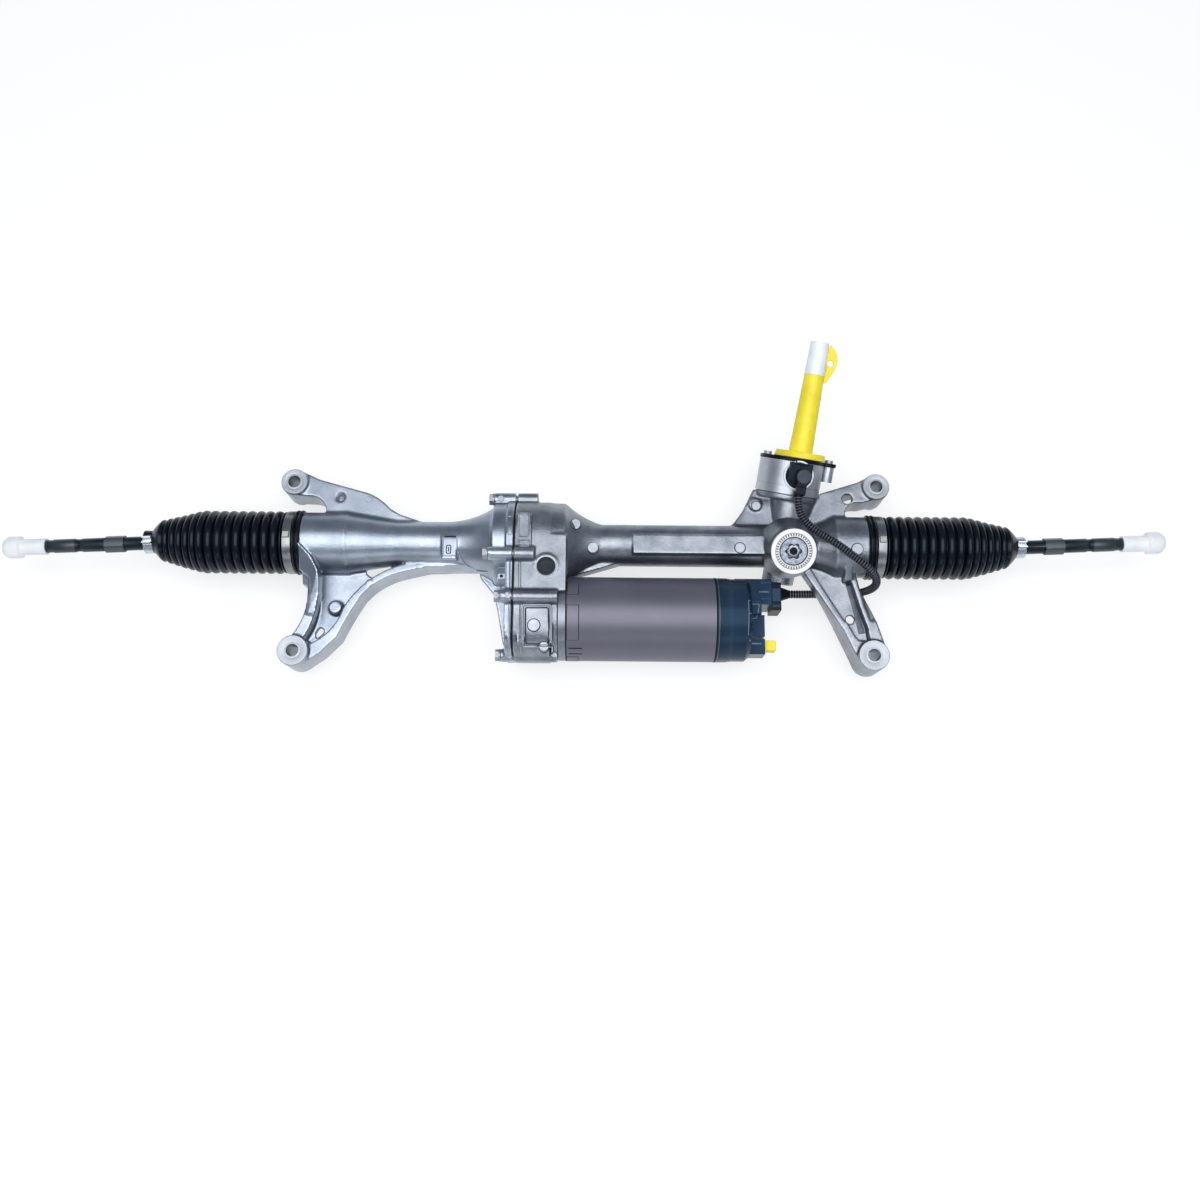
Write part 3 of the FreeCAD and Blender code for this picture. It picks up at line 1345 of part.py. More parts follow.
def thread_cap(side):
    """White cap over the thread, with a flange at its outer end."""
    direction = tie_direction(side)
    centre = ball_point(side)
    radial = Vector(-direction.y, direction.x, 0)
    start = tie_rod_thread + thread_cap_inset
    end = tie_rod_tip
    outside = turned(centre, direction, radial, (start, 0), [
        (start, thread_cap_radius),
        (end - 20.0, thread_cap_radius),
        (end - 18.0, cap_flange_radius),
        (end - 7.0, cap_flange_radius),
        ((end - 3.0, cap_flange_radius - 2.0), (end, cap_flange_radius - 6.0)),
        (end, 0)])
    return outside.cut(rod(centre, direction, tie_rod_radius - 0.6 + fit_gap, start - 1, end - 7.0))


# Boots
def boot_folds(wall):
    """Crests and valleys outwards from the band, moved inwards by a wall; the short folds taper off."""
    points = []
    station = band_clamp_end
    last = band_clamp_end + boot_long_folds * boot_long_pitch + boot_short_folds * boot_short_pitch
    taper_start = band_clamp_end + boot_long_folds * boot_long_pitch
    for pitch, folds, valley in ((boot_long_pitch, boot_long_folds, boot_long_depth),
                                 (boot_short_pitch, boot_short_folds, boot_short_depth)):
        for fold in range(folds):
            for share, depth in ((0.5, valley), (1.0, 0.0)):
                x = station + share * pitch
                fall = max(x - taper_start, 0) / (last - taper_start)
                points.append((x, boot_radius + (boot_last_radius - boot_radius) * fall - depth - wall))
            station += pitch
    return points + [(last + boot_last_land, boot_last_radius - 1.0 - wall)]


def boot_outside():
    """Beads, band seat, folds and the closing cone of a boot, as station and radius."""
    cuff = boot_seat_radius + boot_cuff_wall
    groove = boot_start + boot_bead_width
    second = groove + boot_bead_gap
    return [
        (boot_start, boot_bead_radius),
        (groove, boot_bead_radius),
        (groove, cuff),
        (second, cuff),
        (second, boot_bead_radius),
        (second + boot_bead_width, boot_bead_radius),
        (second + boot_bead_width, cuff),
        (band_clamp_end + running_gap, cuff)] + boot_folds(0.0) + [
        (ball_centre + boot_small_end - boot_cuff_length, boot_small_radius)]


def boot_inside():
    """The same a wall further in, without beads."""
    cuff = boot_seat_radius + boot_cuff_wall - boot_wall
    first = boot_start - 1.0
    return [(first, cuff), (band_clamp_end + running_gap, cuff)] + boot_folds(boot_wall) + [
        (ball_centre + boot_small_end - boot_cuff_length - boot_wall, boot_small_radius - boot_wall)]


def boot(side):
    """Bellows of one side with its small cuff on the tie rod."""
    outward = X * side
    skins = []
    for steps in (boot_outside(), boot_inside()):
        skins.append(turned(rack_axis, outward, Y, (steps[0][0], 0), steps + [(steps[-1][0], 0)]))
    outer, inner = skins
    direction = tie_direction(side)
    centre = ball_point(side)
    start = boot_small_end - boot_cuff_length - 3.0
    cuff = rod(centre, direction, tie_rod_radius + boot_cuff_wall, start, boot_small_end)
    bore = rod(centre, direction, tie_rod_radius + seal_gap, start - 8.0, boot_small_end + 1)
    seat = rod(rack_axis, outward, boot_seat_radius + fit_gap, boot_start - 1, boot_seat_end + fit_gap)
    return outer.cut([inner]).fuse(cuff).cut([bore, seat])


def band_clamps():
    """Stainless bands that hold the large ends of the boots, each with its closing ear."""
    clamps = []
    inner = boot_seat_radius + boot_cuff_wall + fit_gap
    for side in (-1, 1):
        outward = X * side
        band = ring(rack_axis, outward, inner, inner + band_clamp_thickness, band_clamp_start, band_clamp_end)
        ear = block(rack_axis, (outward, Y, Z), (band_clamp_start + 1.0, -3.0, inner - 0.2),
                    (band_clamp_end - 1.0, 3.0, inner + 3.4))
        clamps.append(fuse([band, ear.cut(rod(rack_axis, outward, inner, 0, band_clamp_end))]))
    return group(clamps)


def wire_clamp(side):
    """Small zinc spring clamp on the boot's outer end."""
    direction = tie_direction(side)
    centre = ball_point(side)
    end = boot_small_end - wire_clamp_edge
    inner = tie_rod_radius + boot_cuff_wall
    body = ring(centre, direction, inner, wire_clamp_radius, end - wire_clamp_width, end)
    radial = Vector(-direction.y, direction.x, 0)
    start = end - wire_clamp_width
    ears = [block(centre, (direction, Z, radial), (start, inner + 0.4, k), (end, 15.0, k + 1.6))
            for k in (-3.4, 1.8)]
    return fuse([body] + ears)


def write_all():
    save("drive_end_housing", drive_end_housing())
    save("rack_housing", rack_housing())
    save("housing_seal", housing_seal())
    save("housing_bolts", housing_bolts())
    save("mount_sleeves", mount_sleeves())
    save("rack_bar", rack_bar())
    save("ball_nut", ball_nut())
    save("screw_balls", screw_balls())
    save("nut_bearing_inner", nut_bearing_inner())
    save("nut_bearing_outer", nut_bearing_outer())
    save("nut_bearing_retainer", nut_bearing_retainer())
    save("nut_pulley", toothed_pulley(rack_axis, nut_pulley_pitch, nut_pulley_teeth, nut_radius))
    save("motor_pulley", toothed_pulley(motor_axis, motor_pulley_pitch, motor_pulley_teeth, shaft_radius))
    save("drive_belt", drive_belt())
    save("motor_end_plate", motor_end_plate())
    save("motor_case", motor_case())
    save("motor_bearings", motor_bearings())
    save("motor_stator", motor_stator())
    save("motor_windings", motor_windings())
    save("motor_rotor", motor_rotor())
    save("motor_shaft", motor_shaft())
    save("control_unit_cover", control_unit_cover())
    save("control_board", control_board())
    save("power_plug", power_plug())
    save("motor_harness_connector", motor_harness_connector())
    save("sensor_harness", harness_tube())
    save("pinion_shaft", pinion_shaft())
    save("torsion_bar", torsion_bar())
    save("pinion_needle_bearing", pinion_needle_bearing())
    save("pinion_ball_bearing", pinion_ball_bearing())
    save("sensor_housing", sensor_housing())
    save("sensor_lid", sensor_lid())
    save("small_screws", small_screws())
    save("pinion_seal", pinion_seal())
    board, tray = torque_sensor()
    save("torque_sensor", group([board, tray]))
    save("sensor_connector", sensor_connector())
    save("input_shaft", input_shaft())
    save("sensor_magnet_ring", sensor_magnet_ring())
    save("shaft_protector", shaft_protector())
    save("spline_cap", spline_cap())
    save("yoke", yoke())
    save("yoke_spring", yoke_spring())
    save("yoke_adjuster", yoke_adjuster())
    save("yoke_lock_ring", yoke_lock_ring())
    save("inspection_plug", inspection_plug())
    save("rack_bushing", rack_bushing())
    save("rack_end_stops", rack_end_stops())
    save("band_clamps", band_clamps())
    for side, name in ((-1, "left"), (1, "right")):
        save(name + "_socket", socket(side))
        save(name + "_ball_seat", ball_seat(side))
        save(name + "_tie_rod", tie_rod(side))
        save(name + "_thread_cap", thread_cap(side))
        save(name + "_boot", boot(side))
        save(name + "_wire_clamp", wire_clamp(side))


write_all()
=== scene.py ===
# Looks of an electric power steering rack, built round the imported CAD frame.
# Lengths are typed in millimetres and turned into metres with mm.
# X runs along the rack, Y up in the photograph and Z towards the viewer.
import bmesh
import bpy
import math
import numpy as np
from mathutils import Matrix, Vector


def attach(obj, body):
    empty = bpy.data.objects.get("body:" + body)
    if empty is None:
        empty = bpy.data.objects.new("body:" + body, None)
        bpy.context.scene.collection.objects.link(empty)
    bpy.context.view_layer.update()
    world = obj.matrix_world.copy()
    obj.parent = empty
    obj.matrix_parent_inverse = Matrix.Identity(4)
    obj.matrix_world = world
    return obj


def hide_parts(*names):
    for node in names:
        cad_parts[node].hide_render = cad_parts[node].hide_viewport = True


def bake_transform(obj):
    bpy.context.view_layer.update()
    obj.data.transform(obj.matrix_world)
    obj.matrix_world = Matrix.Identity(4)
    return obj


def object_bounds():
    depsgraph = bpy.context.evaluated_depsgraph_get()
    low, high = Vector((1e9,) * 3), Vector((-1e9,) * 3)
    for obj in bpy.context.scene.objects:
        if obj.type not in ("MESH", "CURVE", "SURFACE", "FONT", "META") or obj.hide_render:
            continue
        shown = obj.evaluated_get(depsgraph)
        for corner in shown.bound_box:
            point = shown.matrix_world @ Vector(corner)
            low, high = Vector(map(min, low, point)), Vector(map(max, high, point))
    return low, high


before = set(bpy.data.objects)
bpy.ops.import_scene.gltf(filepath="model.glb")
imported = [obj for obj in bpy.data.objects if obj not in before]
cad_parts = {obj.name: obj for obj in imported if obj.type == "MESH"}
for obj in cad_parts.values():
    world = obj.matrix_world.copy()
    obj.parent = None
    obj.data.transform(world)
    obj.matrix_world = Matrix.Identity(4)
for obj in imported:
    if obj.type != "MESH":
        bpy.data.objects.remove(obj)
mm = 0.001
cad_low, cad_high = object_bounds()

# Camera
# The photograph was taken from above the rack and a little in front of it, with the camera turned by
# half a degree.
camera_place = (16.5, -207.3, 1236.5)
camera_tilt = 12.4
camera_roll = 0.5


def new_object(name, data):
    """Object with this data, linked to the scene."""
    made = bpy.data.objects.new(name, data)
    bpy.context.scene.collection.objects.link(made)
    return made


camera_data = bpy.data.cameras.new("camera")
camera_data.lens = 35.7
camera_data.sensor_width = 36.0
camera = new_object("camera", camera_data)
camera.matrix_world = (Matrix.Translation(Vector(camera_place) * mm)
                       @ Matrix.Rotation(math.radians(camera_tilt), 4, "X")
                       @ Matrix.Rotation(math.radians(camera_roll), 4, "Z"))
bpy.context.scene.camera = camera
bpy.context.scene.view_settings.view_transform = "Standard"

# Sensor harness
# A black corrugated conduit leaves the torque sensor, bows over the casting, dips behind the lower arm
# and plugs into the control unit. Its line is the CAD route.
harness_route = [
    (218.6, 159.4, 69.7),
    (218.6, 150.0, 68.1),
    (221.2, 140.8, 67.2),
    (226.6, 132.4, 67.4),
    (234.6, 124.4, 69.0),
    (246.8, 115.8, 71.0),
    (260.0, 106.9, 71.3),
    (273.0, 97.6, 68.5),
    (284.8, 89.6, 66.0),
    (294.6, 82.6, 59.1),
    (300.6, 77.4, 48.8),
    (301.8, 74.0, 37.0),
    (298.1, 72.0, 25.8),
    (290.0, 71.0, 16.9),
    (279.0, 70.7, 12.1),
    (266.5, 70.4, 11.0),
    (253.5, 70.0, 13.0),
    (241.5, 69.2, 16.0),
    (231.0, 68.3, 19.0),
    (221.7, 67.6, 21.4),
    (212.8, 67.2, 23.3)]
conduit_core_radius = 3.55
conduit_sides = 22
rib_pitch = 2.9
rib_height = 0.95
rib_sink = 0.15
rows_per_rib = 8


def shader(name, colour, metallic, roughness):
    """Material with one Principled shader; gives the material, its node tree and the shader."""
    made = bpy.data.materials.new(name)
    made.use_nodes = True
    tree = made.node_tree
    principled = tree.nodes["Principled BSDF"]
    principled.inputs["Base Color"].default_value = (*colour, 1.0)
    principled.inputs["Metallic"].default_value = metallic
    principled.inputs["Roughness"].default_value = roughness
    return made, tree, principled


def node(tree, kind, values=None, **settings):
    """New shader node with the values of its unlinked sockets and its settings."""
    made = tree.nodes.new(kind)
    for key, value in settings.items():
        setattr(made, key, value)
    for key, value in (values or {}).items():
        made.inputs[key].default_value = value
    return made


def math_node(tree, operation, first, second=None):
    """Math node fed by sockets or plain numbers; gives its output."""
    made = node(tree, "ShaderNodeMath", operation=operation)
    for slot, value in enumerate((first, second)):
        if value is None:
            continue
        if isinstance(value, (int, float)):
            made.inputs[slot].default_value = value
        else:
            tree.links.new(value, made.inputs[slot])
    return made.outputs[0]


def colour_mix(tree, share, first, second):
    """Mix of the first and the second by share, 0 to 1; each is a colour or a socket."""
    mix = node(tree, "ShaderNodeMix", data_type="RGBA")
    for slot, colour in (("A", first), ("B", second)):
        if isinstance(colour, tuple):
            mix.inputs[slot].default_value = (*colour, 1.0)
        else:
            tree.links.new(colour, mix.inputs[slot])
    tree.links.new(share, mix.inputs["Factor"])
    return mix.outputs["Result"]


def surface_group():
    """Node group: fine grain, large blotches and worn convex edges, each from 0 to 1, and a bumped normal."""
    group = bpy.data.node_groups.new("surface_marks", "ShaderNodeTree")
    for name, value in (("Grain Size", 0.8), ("Blotch Size", 18.0), ("Bump", 0.3)):
        socket = group.interface.new_socket(name, in_out="INPUT", socket_type="NodeSocketFloat")
        socket.default_value = value
    for name, kind in (("Grain", "NodeSocketFloat"), ("Blotch", "NodeSocketFloat"),
                       ("Edge", "NodeSocketFloat"), ("Normal", "NodeSocketVector")):
        group.interface.new_socket(name, in_out="OUTPUT", socket_type=kind)
    entry = group.nodes.new("NodeGroupInput")
    leave = group.nodes.new("NodeGroupOutput")
    place = node(group, "ShaderNodeTexCoord").outputs["Object"]
    noises = []
    for size, detail in (("Grain Size", 4.0), ("Blotch Size", 6.0)):
        noise = node(group, "ShaderNodeTexNoise", {"Detail": detail, "Roughness": 0.6})
        scale = math_node(group, "DIVIDE", 1.0 / mm, entry.outputs[size])
        group.links.new(scale, noise.inputs["Scale"])
        group.links.new(place, noise.inputs["Vector"])
        noises.append(noise.outputs["Fac"])
    convex = node(group, "ShaderNodeNewGeometry").outputs["Pointiness"]
    edge = node(group, "ShaderNodeMapRange", {"From Min": 0.505, "From Max": 0.56})
    group.links.new(convex, edge.inputs["Value"])
    bump = node(group, "ShaderNodeBump", {"Distance": 0.3 * mm})
    group.links.new(entry.outputs["Bump"], bump.inputs["Strength"])
    group.links.new(noises[0], bump.inputs["Height"])
    group.links.new(noises[0], leave.inputs["Grain"])
    group.links.new(noises[1], leave.inputs["Blotch"])
    group.links.new(edge.outputs["Result"], leave.inputs["Edge"])
    group.links.new(bump.outputs["Normal"], leave.inputs["Normal"])
    return group


surface_marks = surface_group()


def lived_in(name, dark, light, metallic, roughness, grain=0.8, blotch=18.0, bump=0.3, edge=None,
             edge_share=0.5, shine=0.5, tint=(1.0, 1.0, 1.0), milky=None):
    """Material whose colour drifts from dark to light in blotches, with grain in its gloss and worn edges.
    roughness is (low, high); edge is the colour that shows where convex edges have worn; shine, 0.5 for
    plain plastic, and tint are the strength and colour of the reflections; milky is the share of light
    that soaks in and how deep."""
    made, tree, principled = shader(name, light, metallic, sum(roughness) / 2)
    principled.inputs["Specular IOR Level"].default_value = shine
    principled.inputs["Specular Tint"].default_value = (*tint, 1.0)
    if milky is not None:
        principled.inputs["Subsurface Weight"].default_value = milky[0]
        principled.inputs["Subsurface Scale"].default_value = milky[1] * mm
    marks = node(tree, "ShaderNodeGroup", {"Grain Size": grain, "Blotch Size": blotch, "Bump": bump},
                 node_tree=surface_marks)
    spread = node(tree, "ShaderNodeMapRange", {"From Min": 0.32, "From Max": 0.68})
    tree.links.new(marks.outputs["Blotch"], spread.inputs["Value"])
    shown = colour_mix(tree, spread.outputs["Result"], dark, light)
    if edge is not None:
        shown = colour_mix(tree, math_node(tree, "MULTIPLY", marks.outputs["Edge"], edge_share), shown, edge)
    tree.links.new(shown, principled.inputs["Base Color"])
    gloss = node(tree, "ShaderNodeMapRange", {"From Min": 0.3, "From Max": 0.7,
                                              "To Min": roughness[0], "To Max": roughness[1]})
    tree.links.new(marks.outputs["Grain"], gloss.inputs["Value"])
    tree.links.new(gloss.outputs["Result"], principled.inputs["Roughness"])
    tree.links.new(marks.outputs["Normal"], principled.inputs["Normal"])
    return made


def grid_mesh(name, points, wrap_rows, wrap_columns):
    """Closed mesh over a (rows, columns, 3) array of points in millimetres, with uv along columns and rows.
    Points that meet at poles are merged and faces turned outwards."""
    rows, columns = points.shape[:2]
    r = np.arange(rows if wrap_rows else rows - 1)
    c = np.arange(columns if wrap_columns else columns - 1)
    r0, c0 = np.meshgrid(r, c, indexing="ij")
    corners = [(r0, c0), (r0, c0 + 1), (r0 + 1, c0 + 1), (r0 + 1, c0)]
    quads = np.stack([(a % rows) * columns + b % columns for a, b in corners], -1).reshape(-1, 4)
    uv = np.stack([np.stack([b / columns, a / rows], -1) for a, b in corners], 2).reshape(-1, 2)
    mesh = bpy.data.meshes.new(name)
    mesh.vertices.add(rows * columns)
    mesh.vertices.foreach_set("co", (points * mm).astype(np.float32).ravel())
    mesh.loops.add(quads.size)
    mesh.loops.foreach_set("vertex_index", quads.astype(np.int32).ravel())
    mesh.polygons.add(len(quads))
    mesh.polygons.foreach_set("loop_start", np.arange(0, quads.size, 4, dtype=np.int32))
    mesh.update(calc_edges=True)
    layer = mesh.uv_layers.new(name="UVMap")
    layer.data.foreach_set("uv", uv.astype(np.float32).ravel())
    return tidy_mesh(mesh)


def shade_smooth(mesh, sharp_angle=38.0):
    """Smooth shading that breaks where two faces meet at a sharper angle, in degrees."""
    mesh.polygons.foreach_set("use_smooth", [True] * len(mesh.polygons))
    mesh.set_sharp_from_angle(angle=math.radians(sharp_angle))
    return mesh


def tidy_mesh(mesh):
    """Merge doubled points, drop faces without area, turn faces outwards and shade smooth between sharp
    edges."""
    work = bmesh.new()
    work.from_mesh(mesh)
    bmesh.ops.remove_doubles(work, verts=work.verts, dist=0.002 * mm)
    bmesh.ops.dissolve_degenerate(work, edges=work.edges, dist=0.001 * mm)
    bmesh.ops.recalc_face_normals(work, faces=work.faces)
    work.to_mesh(mesh)
    work.free()
    return shade_smooth(mesh)


def show(name, mesh, material, body="housing", bevel=0.0):
    """Object at the origin with this mesh, material and slot; it rides on a CAD body unless body is None."""
    made = new_object(name, mesh)
    mesh.materials.clear()
    mesh.materials.append(material)
    if bevel > 0:
        round_edges(made, bevel)
    if body is not None:
        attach(made, body)
    return made


def round_edges(made, width):
    """Small rounding on edges sharper than 40 degrees."""
    rounding = made.modifiers.new("rounded", "BEVEL")
    rounding.width = width * mm
    rounding.segments = 2
    rounding.limit_method = "ANGLE"
    rounding.angle_limit = math.radians(40.0)
    rounding.harden_normals = True
    rounding.use_clamp_overlap = True


def curve_points(curve_object):
    """Points along a curve's own line, in millimetres."""
    bpy.context.view_layer.update()
    line = curve_object.evaluated_get(bpy.context.evaluated_depsgraph_get()).to_mesh()
    points = np.zeros(len(line.vertices) * 3)
    line.vertices.foreach_get("co", points)
    return points.reshape(-1, 3) / mm


def along_path(path, spacing):
    """Distances along a path at even steps, the points there, and at each two directions square to the
    path and to each other; the first is also square to the line (1, 0, 0.35)."""
    steps = np.linalg.norm(np.diff(path, axis=0), axis=1)
    reach = np.concatenate([[0], np.cumsum(steps)])
    stations = np.arange(0, reach[-1], spacing)
    centre = np.stack([np.interp(stations, reach, path[:, k]) for k in range(3)], 1)
    tangent = np.gradient(centre, axis=0)
    tangent /= np.linalg.norm(tangent, axis=1)[:, None]
    first = np.cross(tangent, np.array([1.0, 0.0, 0.35]))
    first /= np.linalg.norm(first, axis=1)[:, None]
    return stations, centre, first, np.cross(tangent, first)


conduit_plastic = lived_in("conduit_plastic", (0.003, 0.003, 0.004), (0.009, 0.010, 0.012), 0.0, (0.26, 0.38),
                           grain=1.2, blotch=9.0, bump=0.08, shine=0.3)
conduit_curve = bpy.data.curves.new("sensor_conduit", "CURVE")
conduit_curve.dimensions = "3D"
conduit_line = conduit_curve.splines.new("NURBS")
conduit_line.points.add(len(harness_route) - 1)
for control, place in zip(conduit_line.points, harness_route):
    control.co = (place[0] * mm, place[1] * mm, place[2] * mm, 1.0)
conduit_line.order_u = 3
conduit_line.use_endpoint_u = True
conduit_line.resolution_u = 10
conduit = new_object("sensor_conduit", conduit_curve)
conduit_path = curve_points(conduit)
conduit_curve.bevel_depth = conduit_core_radius * mm
conduit_curve.bevel_resolution = 6
conduit_curve.use_fill_caps = True
conduit_curve.materials.append(conduit_plastic)
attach(conduit, "housing")
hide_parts("sensor_harness")


def corrugated_sleeve(path):
    """Ribbed skin: radius = core - sink + height * (0.5 - 0.5 cos(2 pi s / pitch)) ^ 0.6 at distance s along
    the path."""
    stations, centre, first, second = along_path(path, rib_pitch / rows_per_rib)
    wave = (0.5 - 0.5 * np.cos(2 * math.pi * stations / rib_pitch)) ** 0.6
    radius = conduit_core_radius - rib_sink + rib_height * wave
    radius[[0, -1]] = 0.0
    angle = np.linspace(0, 2 * math.pi, conduit_sides, endpoint=False)
    ring = first[:, None] * np.cos(angle)[:, None] + second[:, None] * np.sin(angle)[:, None]
    return grid_mesh("conduit_ribs", centre[:, None] + ring * radius[:, None, None], False, True)


def uv_place(tree):
    """Outputs of the piece's own uv map, with X along its columns and Y along its rows."""
    split = node(tree, "ShaderNodeSeparateXYZ")
    tree.links.new(node(tree, "ShaderNodeUVMap", uv_map="UVMap").outputs["UV"], split.inputs[0])
    return split.outputs


rib_plastic, rib_tree, rib_shader = shader("rib_plastic", (0.01, 0.01, 0.012), 0.0, 0.30)
rib_shader.inputs["Specular IOR Level"].default_value = 0.35
sleeve_mesh = corrugated_sleeve(conduit_path)
# each end ring is merged to one point, so two rows are missing from the count of full rings
rib_rows = len(sleeve_mesh.vertices) // conduit_sides + 2
# The ribs' colour follows their rows: tops painted light blue-grey as a highlight, grooves near black as
# painted shade.
rib_phase = math_node(rib_tree, "MULTIPLY", uv_place(rib_tree)["Y"], 2 * math.pi * rib_rows / rows_per_rib)
rib_top = math_node(rib_tree, "MULTIPLY", math_node(rib_tree, "COSINE", rib_phase), -1.0)
rib_share = node(rib_tree, "ShaderNodeMapRange", {"From Min": 0.0, "From Max": 1.0})
rib_tree.links.new(rib_top, rib_share.inputs["Value"])
rib_tree.links.new(colour_mix(rib_tree, rib_share.outputs["Result"], (0.0008, 0.0008, 0.001),
                              (0.070, 0.085, 0.115)), rib_shader.inputs["Base Color"])
conduit_ribs = show("conduit_ribs", sleeve_mesh, rib_plastic)

# Left casting
# Drive end housing, die-cast aluminium, bright and satin: boot seat, tube, trumpet towards the belt case,
# a hollow upper arm and a deep two-ribbed lower arm. Cast edges are round, so the CAD copy is remeshed
# and smoothed.
rack_y, rack_z = 117.0, 28.0
voxel_size = 1.15
smoothing_rounds = 4
most_triangles = 195000
left_extra_bars = [
    # start, end, radius of round pads that stand on the casting
    ((-281.5, 73.0, 30.0), (-281.5, 73.0, 38.6), 3.2),
    ((-222.8, 73.3, 30.0), (-222.8, 73.3, 37.6), 3.4),
    ((-170.4, 90.8, 30.0), (-170.4, 90.8, 37.6), 3.4)]
left_extra_boxes = [
    # two opposite corners of ribs on the half of the belt case
    ((-79.5, 60.0, 40.0), (-77.0, 90.0, 62.0)),
    ((-75.6, 8.0, 40.0), (-73.4, 42.0, 71.0)),
    ((-90.0, 74.5, 20.0), (-76.0, 86.5, 50.0))]
left_buttresses = [
    # corners of the rib that climbs from the lower arm over the boot seat
    [(-293.5, 109.3, 61.6), (-287.4, 103.6, 61.0), (-279.7, 95.7, 58.0), (-273.5, 83.1, 53.0),
     (-293.5, 84.0, 46.0), (-283.0, 76.0, 45.0), (-293.5, 109.3, 45.0), (-279.7, 95.7, 40.0),
     (-273.5, 83.1, 30.0), (-293.5, 84.0, 34.0), (-283.0, 76.0, 30.0)],
    [(-273.5, 83.1, 53.0), (-271.4, 70.0, 47.8), (-273.0, 56.0, 43.0), (-283.0, 76.0, 45.0),
     (-282.0, 56.0, 42.0), (-273.5, 83.1, 30.0), (-273.0, 56.0, 25.0), (-283.0, 76.0, 28.0),
     (-282.0, 56.0, 25.0)],
    [(-271.8, 62.0, 45.0), (-283.0, 62.0, 43.0), (-276.6, 38.0, 39.6), (-284.6, 38.0, 39.6),
     (-271.8, 62.0, 28.0), (-283.0, 62.0, 28.0), (-276.6, 38.0, 28.0), (-284.6, 38.0, 28.0)]]
# the step from the collar down to the tube is a long cone, laid in sectors; its cut is (x, radius)
cone_cut = ((-250.0, 31.0), (-246.5, 31.4), (-196.0, 23.3), (-196.0, 21.4), (-250.0, 24.0))
cone_sectors = 40
for sector in range(cone_sectors):
    turns = [step * 2 * np.pi / cone_sectors for step in (sector, sector + 1)]
    left_buttresses.append([(x, rack_y + radius * np.cos(turn), rack_z + radius * np.sin(turn))
                            for x, radius in cone_cut for turn in turns])


def merged_copy(name, source):
    """Copy of a CAD node's mesh with its split points merged."""
    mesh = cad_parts[source].data.copy()
    mesh.name = name
    work = bmesh.new()
    work.from_mesh(mesh)
    bmesh.ops.remove_doubles(work, verts=work.verts, dist=0.002 * mm)
    for layer in list(work.loops.layers.uv):
        work.loops.layers.uv.remove(layer)
    work.to_mesh(mesh)
    work.free()
    if "custom_normal" in mesh.attributes:
        mesh.attributes.remove(mesh.attributes["custom_normal"])
    return mesh


def add_bar(work, start, end, radius):
    """Closed cylinder between two points, added to a bmesh."""
    start, end = Vector(start) * mm, Vector(end) * mm
    turn = (end - start).to_track_quat("Z", "Y").to_matrix().to_4x4()
    bmesh.ops.create_cone(work, cap_ends=True, segments=32, radius1=radius * mm, radius2=radius * mm,
                          depth=(end - start).length, matrix=Matrix.Translation((start + end) / 2) @ turn)


def add_box(work, low, high):
    """Closed box between two corners, added to a bmesh."""
    low, high = Vector(low) * mm, Vector(high) * mm
    place = Matrix.Translation((low + high) / 2) @ Matrix.Diagonal(high - low).to_4x4()
    bmesh.ops.create_cube(work, size=1.0, matrix=place)


def add_buttress(work, corners):
    """Closed hull round some corner points, added to a bmesh."""
    made = [work.verts.new(Vector(corner) * mm) for corner in corners]
    bmesh.ops.convex_hull(work, input=made)


def cast_mesh(name, source, bars, boxes, buttresses):
    """CAD casting with extra pads, ribs and buttresses, remeshed to one skin."""
    mesh = merged_copy(name, source)
    work = bmesh.new()
    work.from_mesh(mesh)
    for start, end, radius in bars:
        add_bar(work, start, end, radius)
    for low, high in boxes:
        add_box(work, low, high)
    for corners in buttresses:
        add_buttress(work, corners)
    work.to_mesh(mesh)
    work.free()
    return remeshed(mesh)


def remeshed(mesh):
    """One smooth skin round everything in the mesh, thinned to the triangle limit."""
    carrier = new_object("carrier", mesh)
    skin = carrier.modifiers.new("skin", "REMESH")
    skin.mode = "VOXEL"
    skin.voxel_size = voxel_size * mm
    soften = carrier.modifiers.new("soften", "SMOOTH")
    soften.factor = 0.5
    soften.iterations = smoothing_rounds
    bpy.context.view_layer.update()
    count = 2 * len(carrier.evaluated_get(bpy.context.evaluated_depsgraph_get()).data.polygons)
    if count > most_triangles:
        thin = carrier.modifiers.new("thin", "DECIMATE")
        thin.ratio = most_triangles / count
    bpy.context.view_layer.update()
    made = bpy.data.meshes.new_from_object(carrier.evaluated_get(bpy.context.evaluated_depsgraph_get()))
    made.name = mesh.name + "_skin"
    bpy.data.objects.remove(carrier)
    made.polygons.foreach_set("use_smooth", [True] * len(made.polygons))
    return made


bright_cast = lived_in("bright_cast", (0.24, 0.28, 0.34), (0.38, 0.42, 0.48), 0.95, (0.27, 0.40),
                       grain=1.5, blotch=30.0, bump=0.50, edge=(0.62, 0.66, 0.72), edge_share=0.5)
left_mesh = cast_mesh("left_casting", "drive_end_housing", left_extra_bars, left_extra_boxes, left_buttresses)
left_casting = show("left_casting", left_mesh, bright_cast)
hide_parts("drive_end_housing")

